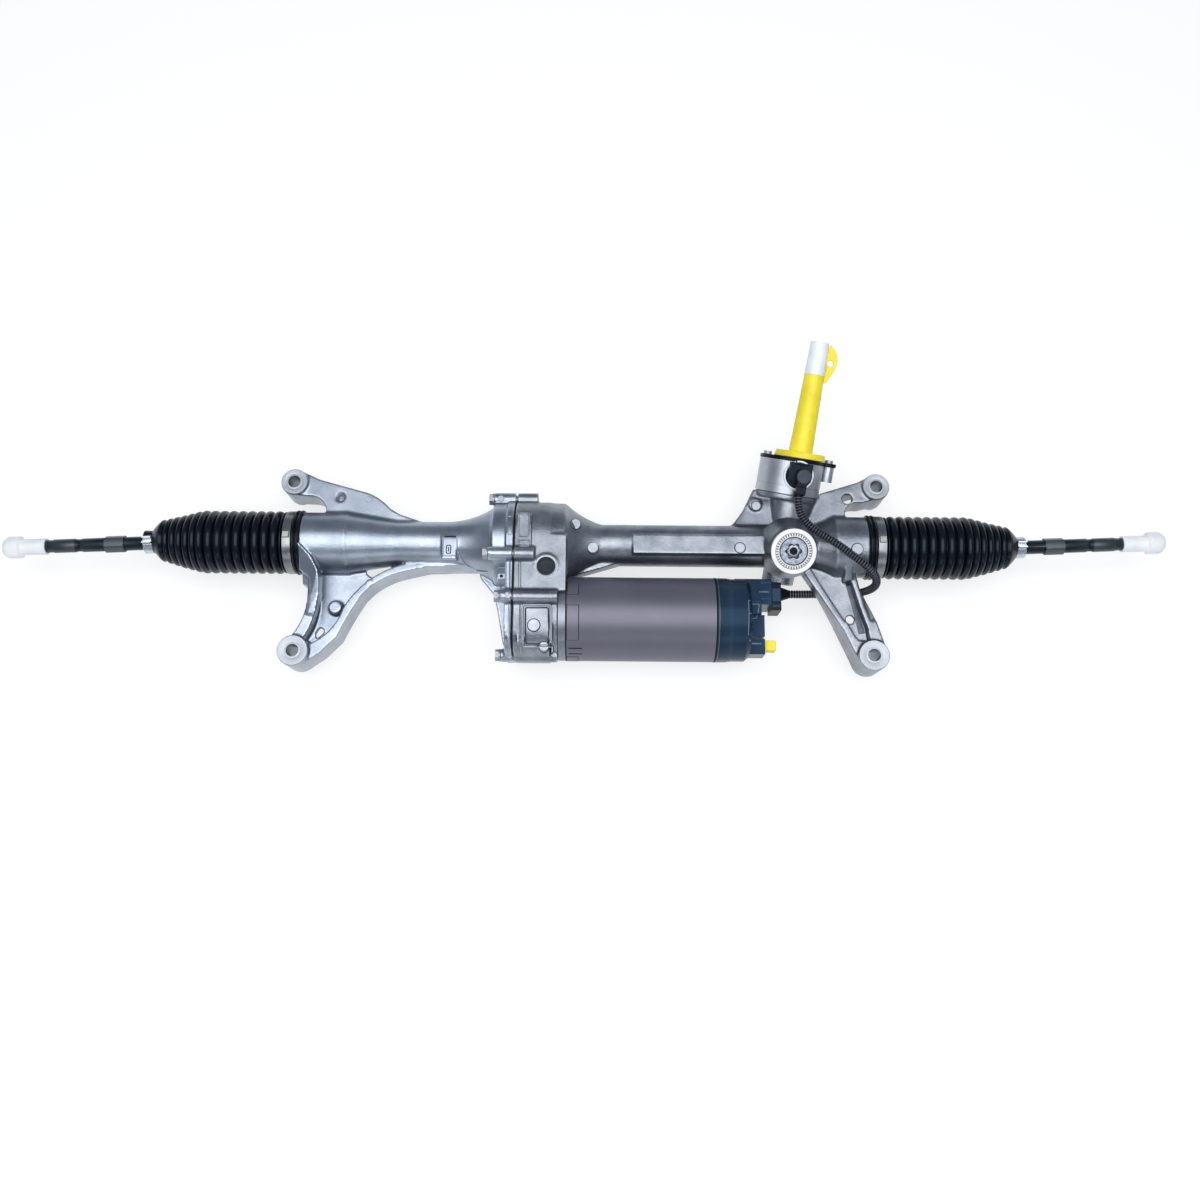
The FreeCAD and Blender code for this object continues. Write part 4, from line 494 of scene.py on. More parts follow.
# Right casting
# Rack housing: other half of the belt case, rack tube, tower foot, yoke boss and two arms. Its skin is duller
# and rougher than the left one's.
right_extra_bars = [
    ((-39.2, 2.2, 50.0), (-39.2, 2.2, 66.5), 5.0)]
right_extra_boxes = [
    ((-68.5, 112.3, 50.0), (-55.0, 138.9, 72.5)),
    ((-68.5, 103.1, 50.0), (-55.0, 110.7, 72.5)),
    ((-61.5, 5.0, 55.0), (-58.5, 42.5, 70.5)),
    ((-34.0, 5.0, 55.0), (-31.0, 42.5, 70.5)),
    ((-61.5, 40.0, 55.0), (-31.0, 42.8, 71.0)),
    ((-66.5, 5.0, 50.0), (-64.0, 42.0, 71.5)),
    ((-66.0, 60.0, 60.0), (-61.0, 92.0, 72.9))]
right_buttresses = [
    # slopes where the lower arm's ribs run into the deep plate round the boss
    [(241.5, 65.0, 24.0), (247.0, 69.0, 24.0), (260.0, 36.0, 24.0), (268.0, 38.0, 24.0), (262.0, 36.0, 3.0),
     (270.0, 36.0, 3.0), (266.0, 30.0, 3.0)],
    [(286.5, 68.0, 24.0), (286.5, 68.0, 37.0), (301.0, 36.0, 4.0), (301.0, 36.0, 39.0), (292.0, 36.0, 4.0),
     (292.0, 36.0, 39.0)]]
dull_cast = lived_in("dull_cast", (0.15, 0.17, 0.20), (0.32, 0.345, 0.38), 0.95, (0.26, 0.42),
                     grain=1.4, blotch=26.0, bump=0.80, edge=(0.50, 0.53, 0.58), edge_share=0.6)
right_mesh = cast_mesh("right_casting", "rack_housing", right_extra_bars, right_extra_boxes, right_buttresses)
right_casting = show("right_casting", right_mesh, dull_cast)
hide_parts("rack_housing")

# Ejector pads
# Round marks left by the ejector pins of the die: flat discs that catch the light, most of them in a thin
# ring of painted shade. Cast steps, seams and creases of both castings are beads laid on their skins; the
# dark ones are painted shade.
ejector_pads = [
    # x, y, height of the top face, radius
    (-9.4, 130.6, 61.5, 5.2),
    (8.8, 107.8, 54.5, 5.4),
    (160.3, 109.7, 51.2, 5.2),
    (179.7, 159.3, 37.2, 4.7),
    (279.4, 107.1, 60.2, 5.7),
    (-49.3, 22.4, 73.4, 6.0),
    (-39.2, 2.2, 66.8, 4.6),
    (-88.2, 163.6, 41.2, 3.3),
    (-75.1, 51.0, 81.2, 3.3),
    (-74.8, -2.8, 48.2, 3.8)]
ringed_pads = 7
above_all = 300.0
bead_step = 0.8
bead_root = -1.2


def lathe_mesh(name, origin, axis, profile, sides=64, closed=False):
    """Profile of (along, out) points turned about an axis: P = origin + a along + out (u cos t + v sin t)."""
    axis = np.array(axis, float) / np.linalg.norm(axis)
    aside = np.array([0.0, 0.0, 1.0]) if abs(axis[2]) < 0.9 else np.array([1.0, 0.0, 0.0])
    u = np.cross(aside, axis)
    u /= np.linalg.norm(u)
    v = np.cross(axis, u)
    profile = np.array(profile, float)
    angle = np.linspace(0, 2 * math.pi, sides, endpoint=False)
    spoke = u[None, :] * np.cos(angle)[:, None] + v[None, :] * np.sin(angle)[:, None]
    points = (np.array(origin)[None, None, :] + profile[:, 0][:, None, None] * axis[None, None, :]
              + profile[:, 1][:, None, None] * spoke[None, :, :])
    return grid_mesh(name, points, closed, True)


def joined(name, meshes):
    """Several meshes in one."""
    work = bmesh.new()
    for mesh in meshes:
        work.from_mesh(mesh)
    made = bpy.data.meshes.new(name)
    work.to_mesh(made)
    work.free()
    return shade_smooth(made)


def top_height(on, x, y):
    """Height of the highest surface of some objects above a point, in millimetres."""
    heights = [np.nan]
    for made in on:
        hit, place = made.ray_cast(Vector((x, y, above_all)) * mm, Vector((0, 0, -1)))[:2]
        if hit:
            heights.append(place.z / mm)
    return np.nanmax(heights) if len(heights) > 1 else np.nan


def eased(values, closed):
    """Each value drawn halfway to the middle of its neighbours; open ends stay."""
    before, after = np.roll(values, 1, axis=0), np.roll(values, -1, axis=0)
    made = (before + 2 * values + after) / 4
    if not closed:
        made[0], made[-1] = values[0], values[-1]
    return made


def ridge(on, corners, width, height, closed=False, rounds=3):
    """Half-round bead laid along a line on some objects: across = width / 2 cos t, up = height sin t from
    the surface under each point of the line."""
    corners = np.array(corners + corners[:1] if closed else corners, float)
    reach = np.concatenate([[0], np.cumsum(np.linalg.norm(np.diff(corners, axis=0), axis=1))])
    count = int(reach[-1] / bead_step) + 2
    stations = np.linspace(0, reach[-1], count, endpoint=not closed)
    path = np.stack([np.interp(stations, reach, corners[:, k]) for k in range(2)], 1)
    for _ in range(rounds):
        path = eased(path, closed)
    bpy.context.view_layer.update()
    level = np.array([top_height(on, x, y) for x, y in path])
    known = ~np.isnan(level)
    level = np.interp(stations, stations[known], level[known])
    for _ in range(2):
        level = eased(level, closed)
    ahead = np.roll(path, -1, axis=0) - np.roll(path, 1, axis=0) if closed else np.gradient(path, axis=0)
    ahead /= np.linalg.norm(ahead, axis=1)[:, None]
    turn = np.linspace(0, math.pi, 9)
    across = np.concatenate([np.cos(turn) * width / 2, [-width / 2, width / 2]])
    up = np.concatenate([np.sin(turn) * height, [bead_root, bead_root]])
    points = np.zeros((count, len(across), 3))
    points[:, :, 0] = path[:, 0, None] - ahead[:, 1, None] * across
    points[:, :, 1] = path[:, 1, None] + ahead[:, 0, None] * across
    points[:, :, 2] = level[:, None] + up
    if not closed:
        ends = points[[0, -1]].mean(1, keepdims=True).repeat(len(across), axis=1)
        points = np.concatenate([ends[:1], points, ends[1:]])
    return grid_mesh("bead", points, closed, True)


def lay_beads(name, on, lines, material):
    """Beads on some objects, shown as one piece; each line is (points, width, height, closed)."""
    show(name, joined(name, [ridge(on, *line) for line in lines]), material)


def circle(x, y, radius):
    """40 points on a circle."""
    turn = np.radians(np.linspace(0.0, 360.0, 40, endpoint=False))
    return [(x + radius * math.cos(t), y + radius * math.sin(t)) for t in turn]


left_lines = [
    # line, width, height, closed
    ([(-145.9, 116.6), (-145.2, 97.9), (-130.8, 98.1), (-131.4, 116.7)], 1.4, 0.9, True),
    ([(-130.8, 106.0), (-128.5, 98.6), (-122.6, 92.3), (-112.2, 87.6), (-100.8, 84.6)], 2.2, 1.0, False),
    (circle(-257.5, 164.3, 6.6), 0.9, 0.35, True),
    (circle(-227.0, 162.0, 3.4), 0.7, 0.2, True),
    ([(-74.9, 90.0), (-74.0, 52.0)], 1.8, 1.6, False),
    ([(-78.8, 90.0), (-77.9, 60.0)], 1.6, 1.2, False),
    ([(-74.3, 43.0), (-73.8, 1.0)], 2.2, 1.8, False),
    ([(-78.4, 136.1), (-73.6, 136.2), (-73.2, 116.0), (-78.0, 116.0)], 1.2, 0.9, True),
    ([(-88.6, 85.0), (-80.0, 85.0), (-79.6, 72.5), (-88.2, 72.4)], 1.0, 0.5, True)]
right_lines = [
    ([(-60.6, 42.6), (-32.5, 42.9), (-31.8, 2.7), (-59.7, 2.4)], 2.6, 1.9, True),
    ([(-63.6, 45.0), (-62.6, -3.6)], 1.6, 1.4, False),
    ([(-67.0, 138.4), (-56.5, 138.5), (-56.0, 114.6), (-66.6, 114.5)], 1.6, 1.2, True),
    ([(-66.2, 110.2), (-55.4, 110.2), (-55.3, 103.6), (-66.0, 103.6)], 1.4, 1.0, True),
    ([(-64.7, 89.5), (-64.1, 61.1)], 2.8, 1.3, False)]
# Dark beads laid flat on the castings are painted shade in creases, along the inner edges of recesses and in
# a small hole.
dark_lines = [
    ([(-57.9, 40.0), (-35.1, 40.3), (-34.4, 5.3), (-57.2, 5.0)], 1.5, 0.12, True),
    ([(-53.8, 137.8), (-53.4, 104.2)], 1.0, 0.12, False),
    ([(-27.6, 58.3), (-66.0, 58.3)], 1.0, 0.12, False),
    ([(-144.0, 118.2), (-132.6, 118.3)], 2.2, 0.12, False),
    ([(-141.9, 109.3), (-141.9, 100.6), (-137.4, 100.6), (-137.4, 109.3)], 1.1, 0.15, True),
    ([(-139.6, 107.4), (-139.6, 102.6)], 1.1, 0.15, False),
    (circle(-84.8, 77.9, 1.2), 2.2, 0.2, True)]
castings = [left_casting, right_casting]
lay_beads("left_ridges", castings, left_lines, bright_cast)
lay_beads("right_ridges", castings, right_lines, dull_cast)
# This near-black material is painted shade in gaps, grooves and recesses: here, on the dial, on the adjuster
# and round the motor crimps.
crevice_shade = lived_in("crevice_shade", (0.010, 0.012, 0.018), (0.030, 0.036, 0.050), 0.3, (0.4, 0.6),
                 blotch=6.0, shine=0.2)
lay_beads("grime_lines", castings, dark_lines, crevice_shade)
# a dark strip stands for the shaded channel between the ribs of the right lower arm
arm_channel = [(275.6, 79.0), (277.4, 71.0), (279.6, 62.0), (282.2, 50.0), (284.4, 39.0), (287.4, 24.5)]
pocket_shade = lived_in("pocket_shade", (0.055, 0.065, 0.080), (0.10, 0.115, 0.14), 0.7, (0.36, 0.5),
                        blotch=8.0)
lay_beads("arm_pocket", castings, [(arm_channel, 7.6, 0.5)], pocket_shade)
pad_metal = lived_in("pad_metal", (0.32, 0.345, 0.38), (0.44, 0.47, 0.51), 0.7, (0.36, 0.48),
                     grain=0.6, blotch=8.0, bump=0.1)
pad_meshes = []
for x, y, top, radius in ejector_pads:
    pad_meshes.append(lathe_mesh("pad", (x, y, top), (0, 0, 1), [
        (-3.0, 0.0), (-3.0, radius), (-0.25, radius), (0.0, radius - 0.25), (0.0, 0.0)], sides=40))
show("ejector_pads", joined("ejector_pads", pad_meshes), pad_metal)
# each pad's thin near-black ring is painted shade round its edge
pad_rings = [(circle(x, y, radius + 0.45), 0.9, 0.12, True)
             for x, y, top, radius in ejector_pads[:ringed_pads]]
lay_beads("pad_rings", castings, pad_rings, crevice_shade)

# Mounting faces
# Each bolt boss is milled flat right up to its hole, together with the end of the steel sleeve.
mount_faces = [
    # x, y, face height, outer radius
    (-296.0, 0.0, 44.0, 15.6),
    (296.0, 0.0, 44.0, 15.6),
    (-306.0, 180.5, 40.0, 13.7),
    (306.0, 180.5, 40.0, 13.7)]
milled, milled_tree, milled_shader = shader("milled_face", (0.37, 0.395, 0.43), 0.85, 0.40)


def turned_marks(tree, centres, spacing, strength, normal_input):
    """Bump of fine circles about the nearest of some vertical axes: height = sin(2 pi r / spacing)."""
    place = node(tree, "ShaderNodeTexCoord").outputs["Object"]
    nearest = None
    for x, y in centres:
        away = node(tree, "ShaderNodeVectorMath", operation="SUBTRACT")
        away.inputs[1].default_value = (x * mm, y * mm, 0.0)
        tree.links.new(place, away.inputs[0])
        flat = node(tree, "ShaderNodeVectorMath", operation="MULTIPLY")
        flat.inputs[1].default_value = (1.0, 1.0, 0.0)
        tree.links.new(away.outputs[0], flat.inputs[0])
        length = node(tree, "ShaderNodeVectorMath", operation="LENGTH")
        tree.links.new(flat.outputs[0], length.inputs[0])
        distance = length.outputs["Value"]
        nearest = distance if nearest is None else math_node(tree, "MINIMUM", nearest, distance)
    wave = math_node(tree, "SINE", math_node(tree, "MULTIPLY", nearest, 2 * math.pi / (spacing * mm)))
    bump = node(tree, "ShaderNodeBump", {"Strength": strength, "Distance": 0.05 * mm})
    tree.links.new(wave, bump.inputs["Height"])
    tree.links.new(bump.outputs["Normal"], normal_input)


turned_marks(milled_tree, [(x, y) for x, y, top, radius in mount_faces], 0.7, 0.35,
             milled_shader.inputs["Normal"])
face_meshes = []
for x, y, top, radius in mount_faces:
    face_meshes.append(lathe_mesh("face", (x, y, top), (0, 0, 1), [
        (0.02, 6.4), (0.14, 6.5), (0.14, 8.0), (0.11, 8.1), (0.14, 8.2), (0.14, radius - 0.5), (-0.4, radius),
        (-2.0, radius), (-2.0, 8.4), (0.02, 8.3)], closed=True))
show("mount_faces", joined("mount_faces", face_meshes), milled)


def cad_piece(source, material, body, bevel):
    """Shows a copy of one CAD node with merged points and rounded edges in place of the node."""
    name = source + "_shown"
    made = show(name, shade_smooth(merged_copy(name, source)), material, body, bevel)
    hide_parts(source)
    return made


sleeve_steel = lived_in("sleeve_steel", (0.14, 0.165, 0.20), (0.26, 0.29, 0.33), 1.0, (0.25, 0.4),
                        grain=0.5, blotch=6.0, bump=0.15)
cad_piece("mount_sleeves", sleeve_steel, "housing", 0.4)

# Case bolts, seal and plug
# Six zinc-coated flange bolts clamp the two castings on a dark seal; a rubber plug closes the inspection
# hole.
bolt_zinc = lived_in("bolt_zinc", (0.24, 0.26, 0.29), (0.36, 0.38, 0.41), 0.8, (0.40, 0.52),
                     grain=0.7, blotch=5.0, bump=0.12, edge=(0.5, 0.52, 0.55), edge_share=0.4)
cad_piece("housing_bolts", bolt_zinc, "housing", 0.15)
seal_rubber = lived_in("seal_rubber", (0.004, 0.004, 0.005), (0.010, 0.010, 0.012), 0.0, (0.5, 0.7),
                       blotch=6.0, shine=0.15)
cad_piece("housing_seal", seal_rubber, "housing", 0.0)
plug_rubber = lived_in("plug_rubber", (0.006, 0.010, 0.018), (0.018, 0.028, 0.045), 0.0, (0.30, 0.46),
                       grain=1.0, blotch=7.0, bump=0.2, shine=0.2)
cad_piece("inspection_plug", plug_rubber, "housing", 0.3)


def turned_piece(name, origin, axis, profile, material, sides=64, closed=False):
    """Piece of the housing, turned about an axis."""
    show(name, lathe_mesh(name, origin, axis, profile, sides, closed), material)


turned_piece("plug_ring", (-38.2, 83.1, 73.5), (0, 0, 1), [
    (-1.0, 9.5), (0.1, 9.5), (0.25, 9.7), (0.25, 11.0), (0.0, 11.3), (-1.0, 11.3)],
    pad_metal, 80, True)

# Yoke adjuster
# Bright threaded plug with a star recess, inside a white marked ring and a plain white lock ring.
yoke_tilt = math.radians(20.0)
yoke_axis = (0.0, -math.sin(yoke_tilt), math.cos(yoke_tilt))
yoke_foot = (212.0, rack_y, rack_z)


def on_axis(foot, axis, distance):
    """Point at a distance along an axis, in millimetres."""
    return tuple(f + a * distance for f, a in zip(foot, axis))


adjuster_metal = lived_in("adjuster_metal", (0.12, 0.14, 0.18), (0.34, 0.38, 0.43), 0.9, (0.22, 0.36),
                          grain=0.7, blotch=4.0, bump=0.3)
cad_piece("yoke_adjuster", adjuster_metal, "housing", 0.3)
white_plastic = lived_in("white_plastic", (0.74, 0.74, 0.72), (0.86, 0.86, 0.84), 0.0, (0.34, 0.46),
                         grain=1.5, blotch=12.0, bump=0.06)
cad_piece("yoke_lock_ring", white_plastic, "housing", 0.5)
dial_plastic, dial_tree, dial_shader = shader("dial_plastic", (0.80, 0.80, 0.78), 0.0, 0.42)
dial_marks = 40
dial_uv = uv_place(dial_tree)
dial_step = math_node(dial_tree, "FRACT", math_node(dial_tree, "MULTIPLY", dial_uv["X"], dial_marks))
dial_line = math_node(dial_tree, "LESS_THAN", dial_step, 0.42)
dial_band = math_node(dial_tree, "COMPARE", dial_uv["Y"], 0.5)
dial_band.node.inputs[2].default_value = 0.13
dial_share = math_node(dial_tree, "MULTIPLY", dial_line, dial_band)
dial_tree.links.new(colour_mix(dial_tree, dial_share, (0.70, 0.71, 0.70), (0.02, 0.022, 0.03)),
                    dial_shader.inputs["Base Color"])
dial_top = on_axis(yoke_foot, yoke_axis, 47.0)
turned_piece("adjuster_dial", dial_top, yoke_axis, [
    (-0.8, 14.6), (0.5, 14.6), (0.7, 14.8), (0.7, 15.2), (0.7, 15.8), (0.7, 17.4), (0.7, 17.9), (0.7, 18.2),
    (0.5, 18.4), (-0.8, 18.4)], dial_plastic, 144, True)
# the near-black rings at the dial's inner and outer edges are painted shade in the gaps
dial_gaps = [lathe_mesh("gap", dial_top, yoke_axis, [(-0.5, low), (0.78, low), (0.78, high), (-0.5, high)],
                        96, True) for low, high in ((18.2, 18.7), (13.6, 14.6))]
show("dial_gaps", joined("dial_gaps", dial_gaps), crevice_shade)


def star_ring(name, origin, outer, inner, wave, lobes, low, high, steps=96):
    """Ring with a waved outline: radius = r + wave cos(lobes t), between two heights on the yoke axis."""
    turn = np.linspace(0, 2 * math.pi, steps, endpoint=False)
    u = np.array([1.0, 0.0, 0.0])
    v = np.cross(np.array(yoke_axis), u)
    points = np.zeros((steps, 4, 3))
    for k, (radius, height) in enumerate(((inner, low), (inner, high), (outer, high), (outer, low))):
        out = radius + wave * np.cos(lobes * turn)
        points[:, k] = (np.array(origin) + height * np.array(yoke_axis)
                        + out[:, None] * (np.cos(turn)[:, None] * u + np.sin(turn)[:, None] * v))
    return grid_mesh(name, points, True, True)


# the near-black waved ring is painted shade in the star recess
show("adjuster_star", star_ring("adjuster_star", dial_top, 7.7, 6.6, 1.1, 6, -0.5, 0.12), crevice_shade)
turned_piece("adjuster_floor", dial_top, yoke_axis, [
    (-2.0, 0.0), (-0.7, 0.0), (-0.7, 4.0), (-0.3, 4.1), (-0.3, 5.6), (-0.5, 6.2), (-2.0, 6.2)],
    adjuster_metal)
# a flat black disc is painted shade in the centre hole of the plug
turned_piece("adjuster_hole", dial_top, yoke_axis, [
    (-1.0, 0.0), (-0.55, 0.0), (-0.5, 3.9), (-1.0, 3.9)], seal_rubber, 48)

# Sensor tower
# Turned aluminium ring with a seam groove, closed by a black lid on two screws; the sensor plug stands on
# a round black collar whose rim is painted near white as a highlight, and its tail takes the conduit.
tower_axis = (0.147809, 0.929371, 0.338263)
tower_side = (0.989016, -0.138895, -0.050554)
pinion_foot = (212.0, 123.669, 9.676)
tower_metal = lived_in("tower_metal", (0.27, 0.29, 0.33), (0.39, 0.42, 0.46), 0.80, (0.30, 0.44),
                       grain=0.8, blotch=22.0, bump=0.25, edge=(0.60, 0.63, 0.67), edge_share=0.5)
tower_ring = cad_piece("sensor_housing", tower_metal, "housing", 0.7)
lid_plastic = lived_in("lid_plastic", (0.002, 0.0025, 0.004), (0.006, 0.007, 0.010), 0.0, (0.30, 0.44),
                       grain=1.0, blotch=12.0, bump=0.12, shine=0.16, tint=(0.60, 0.80, 1.0))
cad_piece("sensor_lid", lid_plastic, "housing", 0.7)
cad_piece("small_screws", bolt_zinc, "housing", 0.4)
plug_plastic = lived_in("plug_plastic", (0.003, 0.004, 0.007), (0.008, 0.010, 0.016), 0.0, (0.28, 0.42),
                        grain=0.9, blotch=10.0, bump=0.15, shine=0.16, tint=(0.60, 0.80, 1.0))
sensor_plug = cad_piece("sensor_connector", plug_plastic, "housing", 0.9)
cad_piece("pinion_seal", seal_rubber, "housing", 0.3)
plug_cap_foot = on_axis(on_axis(pinion_foot, tower_axis, 75.5), yoke_axis, 50.0)
cap_navy = lived_in("cap_navy", (0.020, 0.030, 0.050), (0.040, 0.056, 0.085), 0.0, (0.34, 0.46), blotch=8.0,
                    bump=0.1, shine=0.3)
turned_piece("plug_cap", plug_cap_foot, yoke_axis, [
    (-2.5, 0.0), (0.5, 0.0), (0.5, 6.7), (0.1, 7.2), (-0.6, 7.3), (-2.5, 7.3)], cap_navy, 56)
# the collar's rim is painted near white: a painted highlight
rim_highlight = lived_in("rim_highlight", (0.66, 0.70, 0.74), (0.78, 0.81, 0.84), 0.2, (0.34, 0.46),
                     blotch=6.0, bump=0.1)
plug_window_foot = on_axis(plug_cap_foot, tower_side, -3.2)
turned_piece("plug_window", plug_window_foot, yoke_axis, [
    (-23.5, 13.6), (-15.2, 13.6), (-14.9, 13.9), (-14.9, 15.0), (-15.3, 15.4), (-23.5, 15.4)],
    rim_highlight, 72, True)
turned_piece("plug_collar", plug_window_foot, yoke_axis, [
    (-23.5, 0.0), (-14.6, 0.0), (-14.6, 13.0), (-15.2, 13.6), (-23.5, 13.6)],
    plug_plastic, 72)
clip_beads = [ridge([sensor_plug, tower_ring], [(210.6, 204.8), (234.6, 201.2)], 3.4, 1.8, rounds=0)]
for line in ([(217.5, 196.5), (216.8, 191.4), (229.0, 189.6), (229.6, 194.8)],
             [(216.0, 168.0), (225.6, 166.6)], [(214.6, 160.6), (224.0, 159.4)]):
    clip_beads.append(ridge([sensor_plug], line, 1.4, 1.0))
show("plug_clips", joined("plug_clips", clip_beads), plug_plastic)

# Input shaft guards
# Yellow transport guard with a disc foot and a pierced lug, and the white cap over the spline.
yellow_plastic = lived_in("yellow_plastic", (0.80, 0.66, 0.012), (0.93, 0.80, 0.03), 0.0, (0.34, 0.48),
                          grain=1.6, blotch=25.0, bump=0.08, milky=(0.12, 2.0))
cad_piece("shaft_protector", yellow_plastic, "steering_input", 1.1)
cap_plastic = lived_in("cap_plastic", (0.80, 0.81, 0.82), (0.90, 0.91, 0.92), 0.0, (0.26, 0.38),
                       grain=1.5, blotch=14.0, bump=0.06, milky=(0.25, 3.0))
cad_piece("spline_cap", cap_plastic, "steering_input", 0.9)
steel = lived_in("steel", (0.26, 0.27, 0.29), (0.42, 0.43, 0.45), 1.0, (0.22, 0.36),
                 grain=0.6, blotch=9.0, bump=0.12)
cad_piece("input_shaft", steel, "steering_input", 0.3)

# Motor
# Drawn steel can in matte warm grey paint, crimped over the aluminium flange, with a dark rubber seam at
# the control unit.
motor_axis = (0.0, 38.0, 28.0)
motor_radius = 43.5
patch_root = 42.0
motor_paint = lived_in("motor_paint", (0.098, 0.096, 0.128), (0.120, 0.116, 0.152), 0.55, (0.40, 0.48),
                       grain=1.1, blotch=40.0, bump=0.16, edge=(0.30, 0.30, 0.34), edge_share=0.35)
cad_piece("motor_case", motor_paint, "housing", 0.9)
flange_metal = lived_in("flange_metal", (0.10, 0.12, 0.15), (0.22, 0.24, 0.28), 0.85, (0.28, 0.42),
                        grain=0.8, blotch=16.0, bump=0.25, edge=(0.40, 0.43, 0.48), edge_share=0.5)
cad_piece("motor_end_plate", flange_metal, "housing", 0.8)


def shell_patch(x_low, x_high, angle_low, angle_high, proud, steps=24):
    """Curved plate from inside the motor can's wall to proud of it: x and, from +Y towards +Z in degrees,
    angle of its edges."""
    angle = np.radians(np.linspace(angle_low, angle_high, steps))
    outer = motor_radius + proud
    ring = [(x_low, patch_root), (x_low, outer), (x_high, outer), (x_high, patch_root)]
    points = np.zeros((steps + 2, 4, 3))
    for k, (x, radius) in enumerate(ring):
        points[1:-1, k, 0] = x
        points[1:-1, k, 1] = motor_axis[1] + radius * np.cos(angle)
        points[1:-1, k, 2] = motor_axis[2] + radius * np.sin(angle)
    points[0] = points[1].mean(0)
    points[-1] = points[-2].mean(0)
    return grid_mesh("patch", points, False, True)


crimp_start = -16.6
crimp_tabs = [(-5.5, 44.0, 66.0), (-5.0, 83.0, 130.0)]
# each crimp sits on a slightly larger near-black patch, and a near-black ring runs at the flange edge:
# painted shade in the gaps round them
crimp_meshes = []
gap_meshes = []
for turn in (0.0, 120.0, 240.0):
    for end, low, high in crimp_tabs:
        crimp_meshes.append(shell_patch(crimp_start, end, low + turn, high + turn, 0.4))
        gap_meshes.append(shell_patch(crimp_start - 0.4, end + 0.7, low - 0.8 + turn, high + 0.8 + turn, 0.1))
show("motor_crimps", joined("motor_crimps", crimp_meshes), motor_paint, bevel=0.3)
gap_meshes.append(lathe_mesh("gap", motor_axis, (1, 0, 0), [
    (-18.4, 43.0), (-18.4, 43.75), (-17.4, 43.75), (-17.4, 43.0)], 96, True))
show("crimp_gaps", joined("crimp_gaps", gap_meshes), crevice_shade)
# two thin black strips are painted shade along the edges of a slot in the can
slot_meshes = [shell_patch(-15.0, -1.0, low, low + 1.6, 0.15) for low in (143.5, 155.0)]
show("motor_slot_lines", joined("motor_slot_lines", slot_meshes), seal_rubber)
turned_piece("unit_seal", motor_axis, (1, 0, 0), [
    (133.6, 43.0), (133.6, 43.75), (135.2, 43.75), (135.4, 43.0)], seal_rubber, 128, True)

# Control unit
# Navy-black moulded cover on the end of the motor with its connector blocks, latch frames and the yellow
# plug.
unit_plastic = lived_in("unit_plastic", (0.002, 0.010, 0.024), (0.005, 0.018, 0.042), 0.0, (0.18, 0.26),
                        grain=0.7, blotch=16.0, bump=0.12, edge=(0.05, 0.08, 0.13), edge_share=0.4,
                        shine=0.20, tint=(0.36, 0.66, 1.0))
unit_cover = cad_piece("control_unit_cover", unit_plastic, "housing", 1.1)
turned_piece("unit_lip", motor_axis, (1, 0, 0), [
    (135.3, 43.0), (135.3, 43.7), (136.1, 43.8), (136.4, 43.4), (136.9, 43.4), (137.2, 43.8), (146.0, 43.7),
    (151.0, 42.95), (151.0, 42.5), (139.0, 42.5)], unit_plastic, 128, True)
cad_piece("motor_harness_connector", lid_plastic, "housing", 0.9)
cad_piece("power_plug", yellow_plastic, "housing", 0.7)
unit_boxes = [
    # raised edges of the connector blocks
    ((168.4, 38.6, 46.0), (169.6, 54.2, 50.4)),
    ((168.4, 52.6, 48.5), (181.4, 54.2, 50.4)),
    ((180.0, 40.0, 46.0), (181.4, 54.2, 50.4)),
    ((165.5, 15.4, 38.0), (185.4, 16.8, 40.6)),
    ((165.5, 39.2, 42.0), (185.2, 40.6, 44.6)),
    ((181.6, 57.0, 38.0), (192.6, 59.0, 42.6)),
    ((181.6, 66.0, 38.0), (192.6, 67.2, 42.6)),
    ((181.6, 74.0, 38.0), (192.6, 76.2, 42.6)),
    ((194.0, 50.0, 36.0), (202.6, 53.0, 38.8)),
    ((194.0, 56.0, 36.0), (202.6, 70.0, 39.2))]
unit_work = bmesh.new()
for low, high in unit_boxes:
    add_box(unit_work, low, high)
unit_mesh = bpy.data.meshes.new("unit_ridges")
unit_work.to_mesh(unit_mesh)
unit_work.free()
unit_ridges = show("unit_ridges", unit_mesh, unit_plastic, bevel=0.3)
# light blue beads along the edges of the connector blocks and latch frames are painted highlights
edge_highlight = lived_in("edge_highlight", (0.075, 0.125, 0.18), (0.14, 0.21, 0.29), 0.0, (0.26, 0.36),
                        blotch=9.0, bump=0.1, shine=0.6)
unit_lines = [
    ([(165.6, 50.7), (179.0, 50.8), (177.0, 37.2), (165.8, 37.0)], 1.2, 0.6, True),
    ([(165.8, 37.0), (165.4, 15.8)], 1.1, 0.6, False),
    ([(166.6, 11.6), (182.0, 11.6)], 1.8, 0.8, False),
    ([(180.4, 65.4), (190.2, 65.4)], 1.3, 0.6, False)]
lay_beads("unit_edges", [unit_cover, unit_ridges], unit_lines, edge_highlight)

